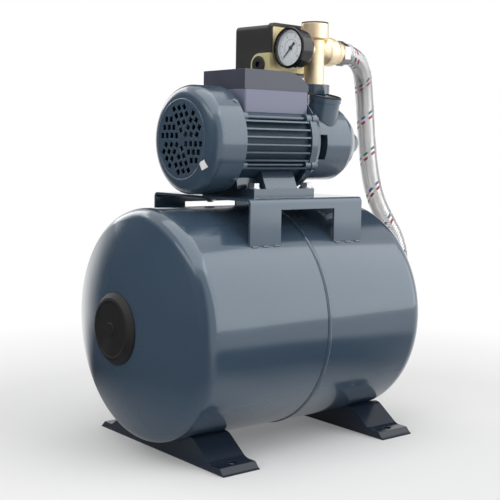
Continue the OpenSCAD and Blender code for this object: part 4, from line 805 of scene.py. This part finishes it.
# lamps: one tall softbox to the right, a top light, a weak fill from the left and a back light
partMiddle = (-0.05, 0.0, 0.3)
lampSet = {
    "softBox": {"place": (1.45, -1.75, 1.80), "aim": (0.0, 0.0, 1.5), "size": (3.0, 3.45), "power": 56.0},
    "topLight": {"place": (-0.1, -0.2, 2.2), "aim": partMiddle, "size": (2.4, 2.4), "power": 26.0},
    "leftFill": {"place": (-2.0, -0.3, 1.2), "aim": partMiddle, "size": (1.6, 1.6), "power": 16.0},
    "backLight": {"place": (-0.4, 2.4, 1.5), "aim": partMiddle, "size": (1.4, 1.4), "power": 14.0},
}


def makeLamp(name, p):
    bpy.ops.object.light_add(type="AREA", location=p["place"])
    lamp = bpy.context.object
    lamp.name = name
    lamp.data.energy = p["power"]
    lamp.data.shape = "RECTANGLE"
    lamp.data.size, lamp.data.size_y = p["size"]
    lamp.rotation_euler = (Vector(p["aim"]) - Vector(p["place"])).to_track_quat("-Z", "Y").to_euler()


for lampName, lampValues in lampSet.items():
    makeLamp(lampName, lampValues)


def seenRays(tree):   # camera, glossy and transmission rays all see the white background
    path = tree.nodes.new("ShaderNodeLightPath")
    seen = mathNode(tree, "ADD", path.outputs["Is Camera Ray"], path.outputs["Is Glossy Ray"], True)
    return mathNode(tree, "ADD", seen, path.outputs["Is Transmission Ray"], True)


# white world, weaker where it only lights the part
worldSet = {"color": (1, 1, 1, 1), "ambient": 0.34}


def makeWorld(w):
    world = bpy.data.worlds.new("whiteStudio")
    bpy.context.scene.world = world
    world.use_nodes = True
    tree = world.node_tree
    back = tree.nodes["Background"].inputs
    extra = mathNode(tree, "MULTIPLY", seenRays(tree), 1.0 - w["ambient"])
    feed(tree, back["Strength"], mathNode(tree, "ADD", extra, w["ambient"]))
    feed(tree, back["Color"], w["color"])


makeWorld(worldSet)

# pale floor that keeps the shadow near the part and turns white farther out
floorSet = {"sides": 96, "radius": 6.0, "color": (0.76, 0.76, 0.76, 1), "glow": (1, 1, 1, 1),
            "glowFrom": 0.42, "glowTo": 0.85, "glowNear": 0.14}


def floorMaterial(f):
    mat = bpy.data.materials.new("paleFloor")
    mat.use_nodes = True
    tree = mat.node_tree
    tree.nodes.remove(tree.nodes["Principled BSDF"])
    matte = addNode(tree, "ShaderNodeBsdfDiffuse", Color=f["color"])
    glow = addNode(tree, "ShaderNodeEmission", Color=f["glow"], Strength=1.0)
    reach = addNode(tree, "ShaderNodeVectorMath", operation="LENGTH")
    feed(tree, reach.inputs[0], objectSpot(tree))
    fade = addNode(tree, "ShaderNodeMapRange", Value=reach.outputs["Value"], From_Min=f["glowFrom"],
                   From_Max=f["glowTo"], To_Min=f["glowNear"], To_Max=1.0)
    mixed = tree.nodes.new("ShaderNodeMixShader")
    share = mathNode(tree, "MULTIPLY", fade.outputs[0], seenRays(tree))
    for i, value in enumerate((share, matte.outputs[0], glow.outputs[0])):
        feed(tree, mixed.inputs[i], value)
    feed(tree, tree.nodes["Material Output"].inputs["Surface"], mixed.outputs[0])
    return mat


def makeFloor(f):
    bpy.ops.mesh.primitive_circle_add(vertices=f["sides"], radius=f["radius"], fill_type="NGON",
                                      location=(0, 0, 0))
    floor = bpy.context.object
    floor.name = "studioFloor"
    floor.data.materials.append(floorMaterial(f))
    return floor


makeFloor(floorSet)

# painted reflection: dark cloths that only reflections see, standing in for the shaded floor near the part
# and a dark studio round it; turn is from and to in degrees round the part, fall is the line of the cloth as
# distance and height, and soft is the share of it over which its edges thin out
flagSet = {
    "leftFlag": {"turn": (95, 248), "fall": [(0.03, 0.002), (1.2, 0.002), (1.2, 1.3)], "soft": 0.16},
    "frontFlag": {"turn": (225, 345), "fall": [(0.10, 0.003), (0.62, 0.003)], "soft": 0.35},
    "backFlag": {"turn": (2, 80), "fall": [(1.5, 0.52), (1.5, 2.0)], "soft": 0.14},
}
flagCells = 24
flagCloth = {"Base Color": (0.02, 0.022, 0.025, 1), "Roughness": 0.9, "IOR": 1.0}


def flagMaterial(soft):
    mat, tree, surface = newMaterial("flagCloth", flagCloth)
    axes = splitAxes(tree, tree.nodes.new("ShaderNodeUVMap").outputs["UV"])

    def edgeFade(value):   # 0 on both ends of the cloth, 1 from soft inwards
        inward = mathNode(tree, "MINIMUM", value, mathNode(tree, "SUBTRACT", 1.0, value))
        return addNode(tree, "ShaderNodeMapRange", interpolation_type="SMOOTHSTEP", Value=inward,
                       From_Max=soft).outputs[0]

    feed(tree, surface["Alpha"], mathNode(tree, "MULTIPLY", edgeFade(axes["X"]), edgeFade(axes["Y"])))
    return mat


def makeFlag(name, f):
    deselectAll()
    bpy.ops.mesh.primitive_grid_add(x_subdivisions=flagCells, y_subdivisions=flagCells, size=1)
    flag = bpy.context.object
    flag.name = name
    start, end = (math.radians(t) for t in f["turn"])
    steps = [math.dist(p, q) for p, q in zip(f["fall"], f["fall"][1:])]
    for v in flag.data.vertices:
        a = start + (end - start) * (v.co.x + 0.5)
        run = (v.co.y + 0.5) * sum(steps)
        k = 0
        while run > steps[k] and k < len(steps) - 1:
            run -= steps[k]
            k += 1
        low, high = Vector(f["fall"][k]), Vector(f["fall"][k + 1])
        reach, z = low.lerp(high, run / steps[k])
        v.co = (reach * math.cos(a), reach * math.sin(a), z)
    flag.data.materials.append(flagMaterial(f["soft"]))
    flag.visible_camera = False
    flag.visible_shadow = False
    flag.visible_diffuse = False
    return flag


for flagName, flagValues in flagSet.items():
    makeFlag(flagName, flagValues)
print("studio lit")
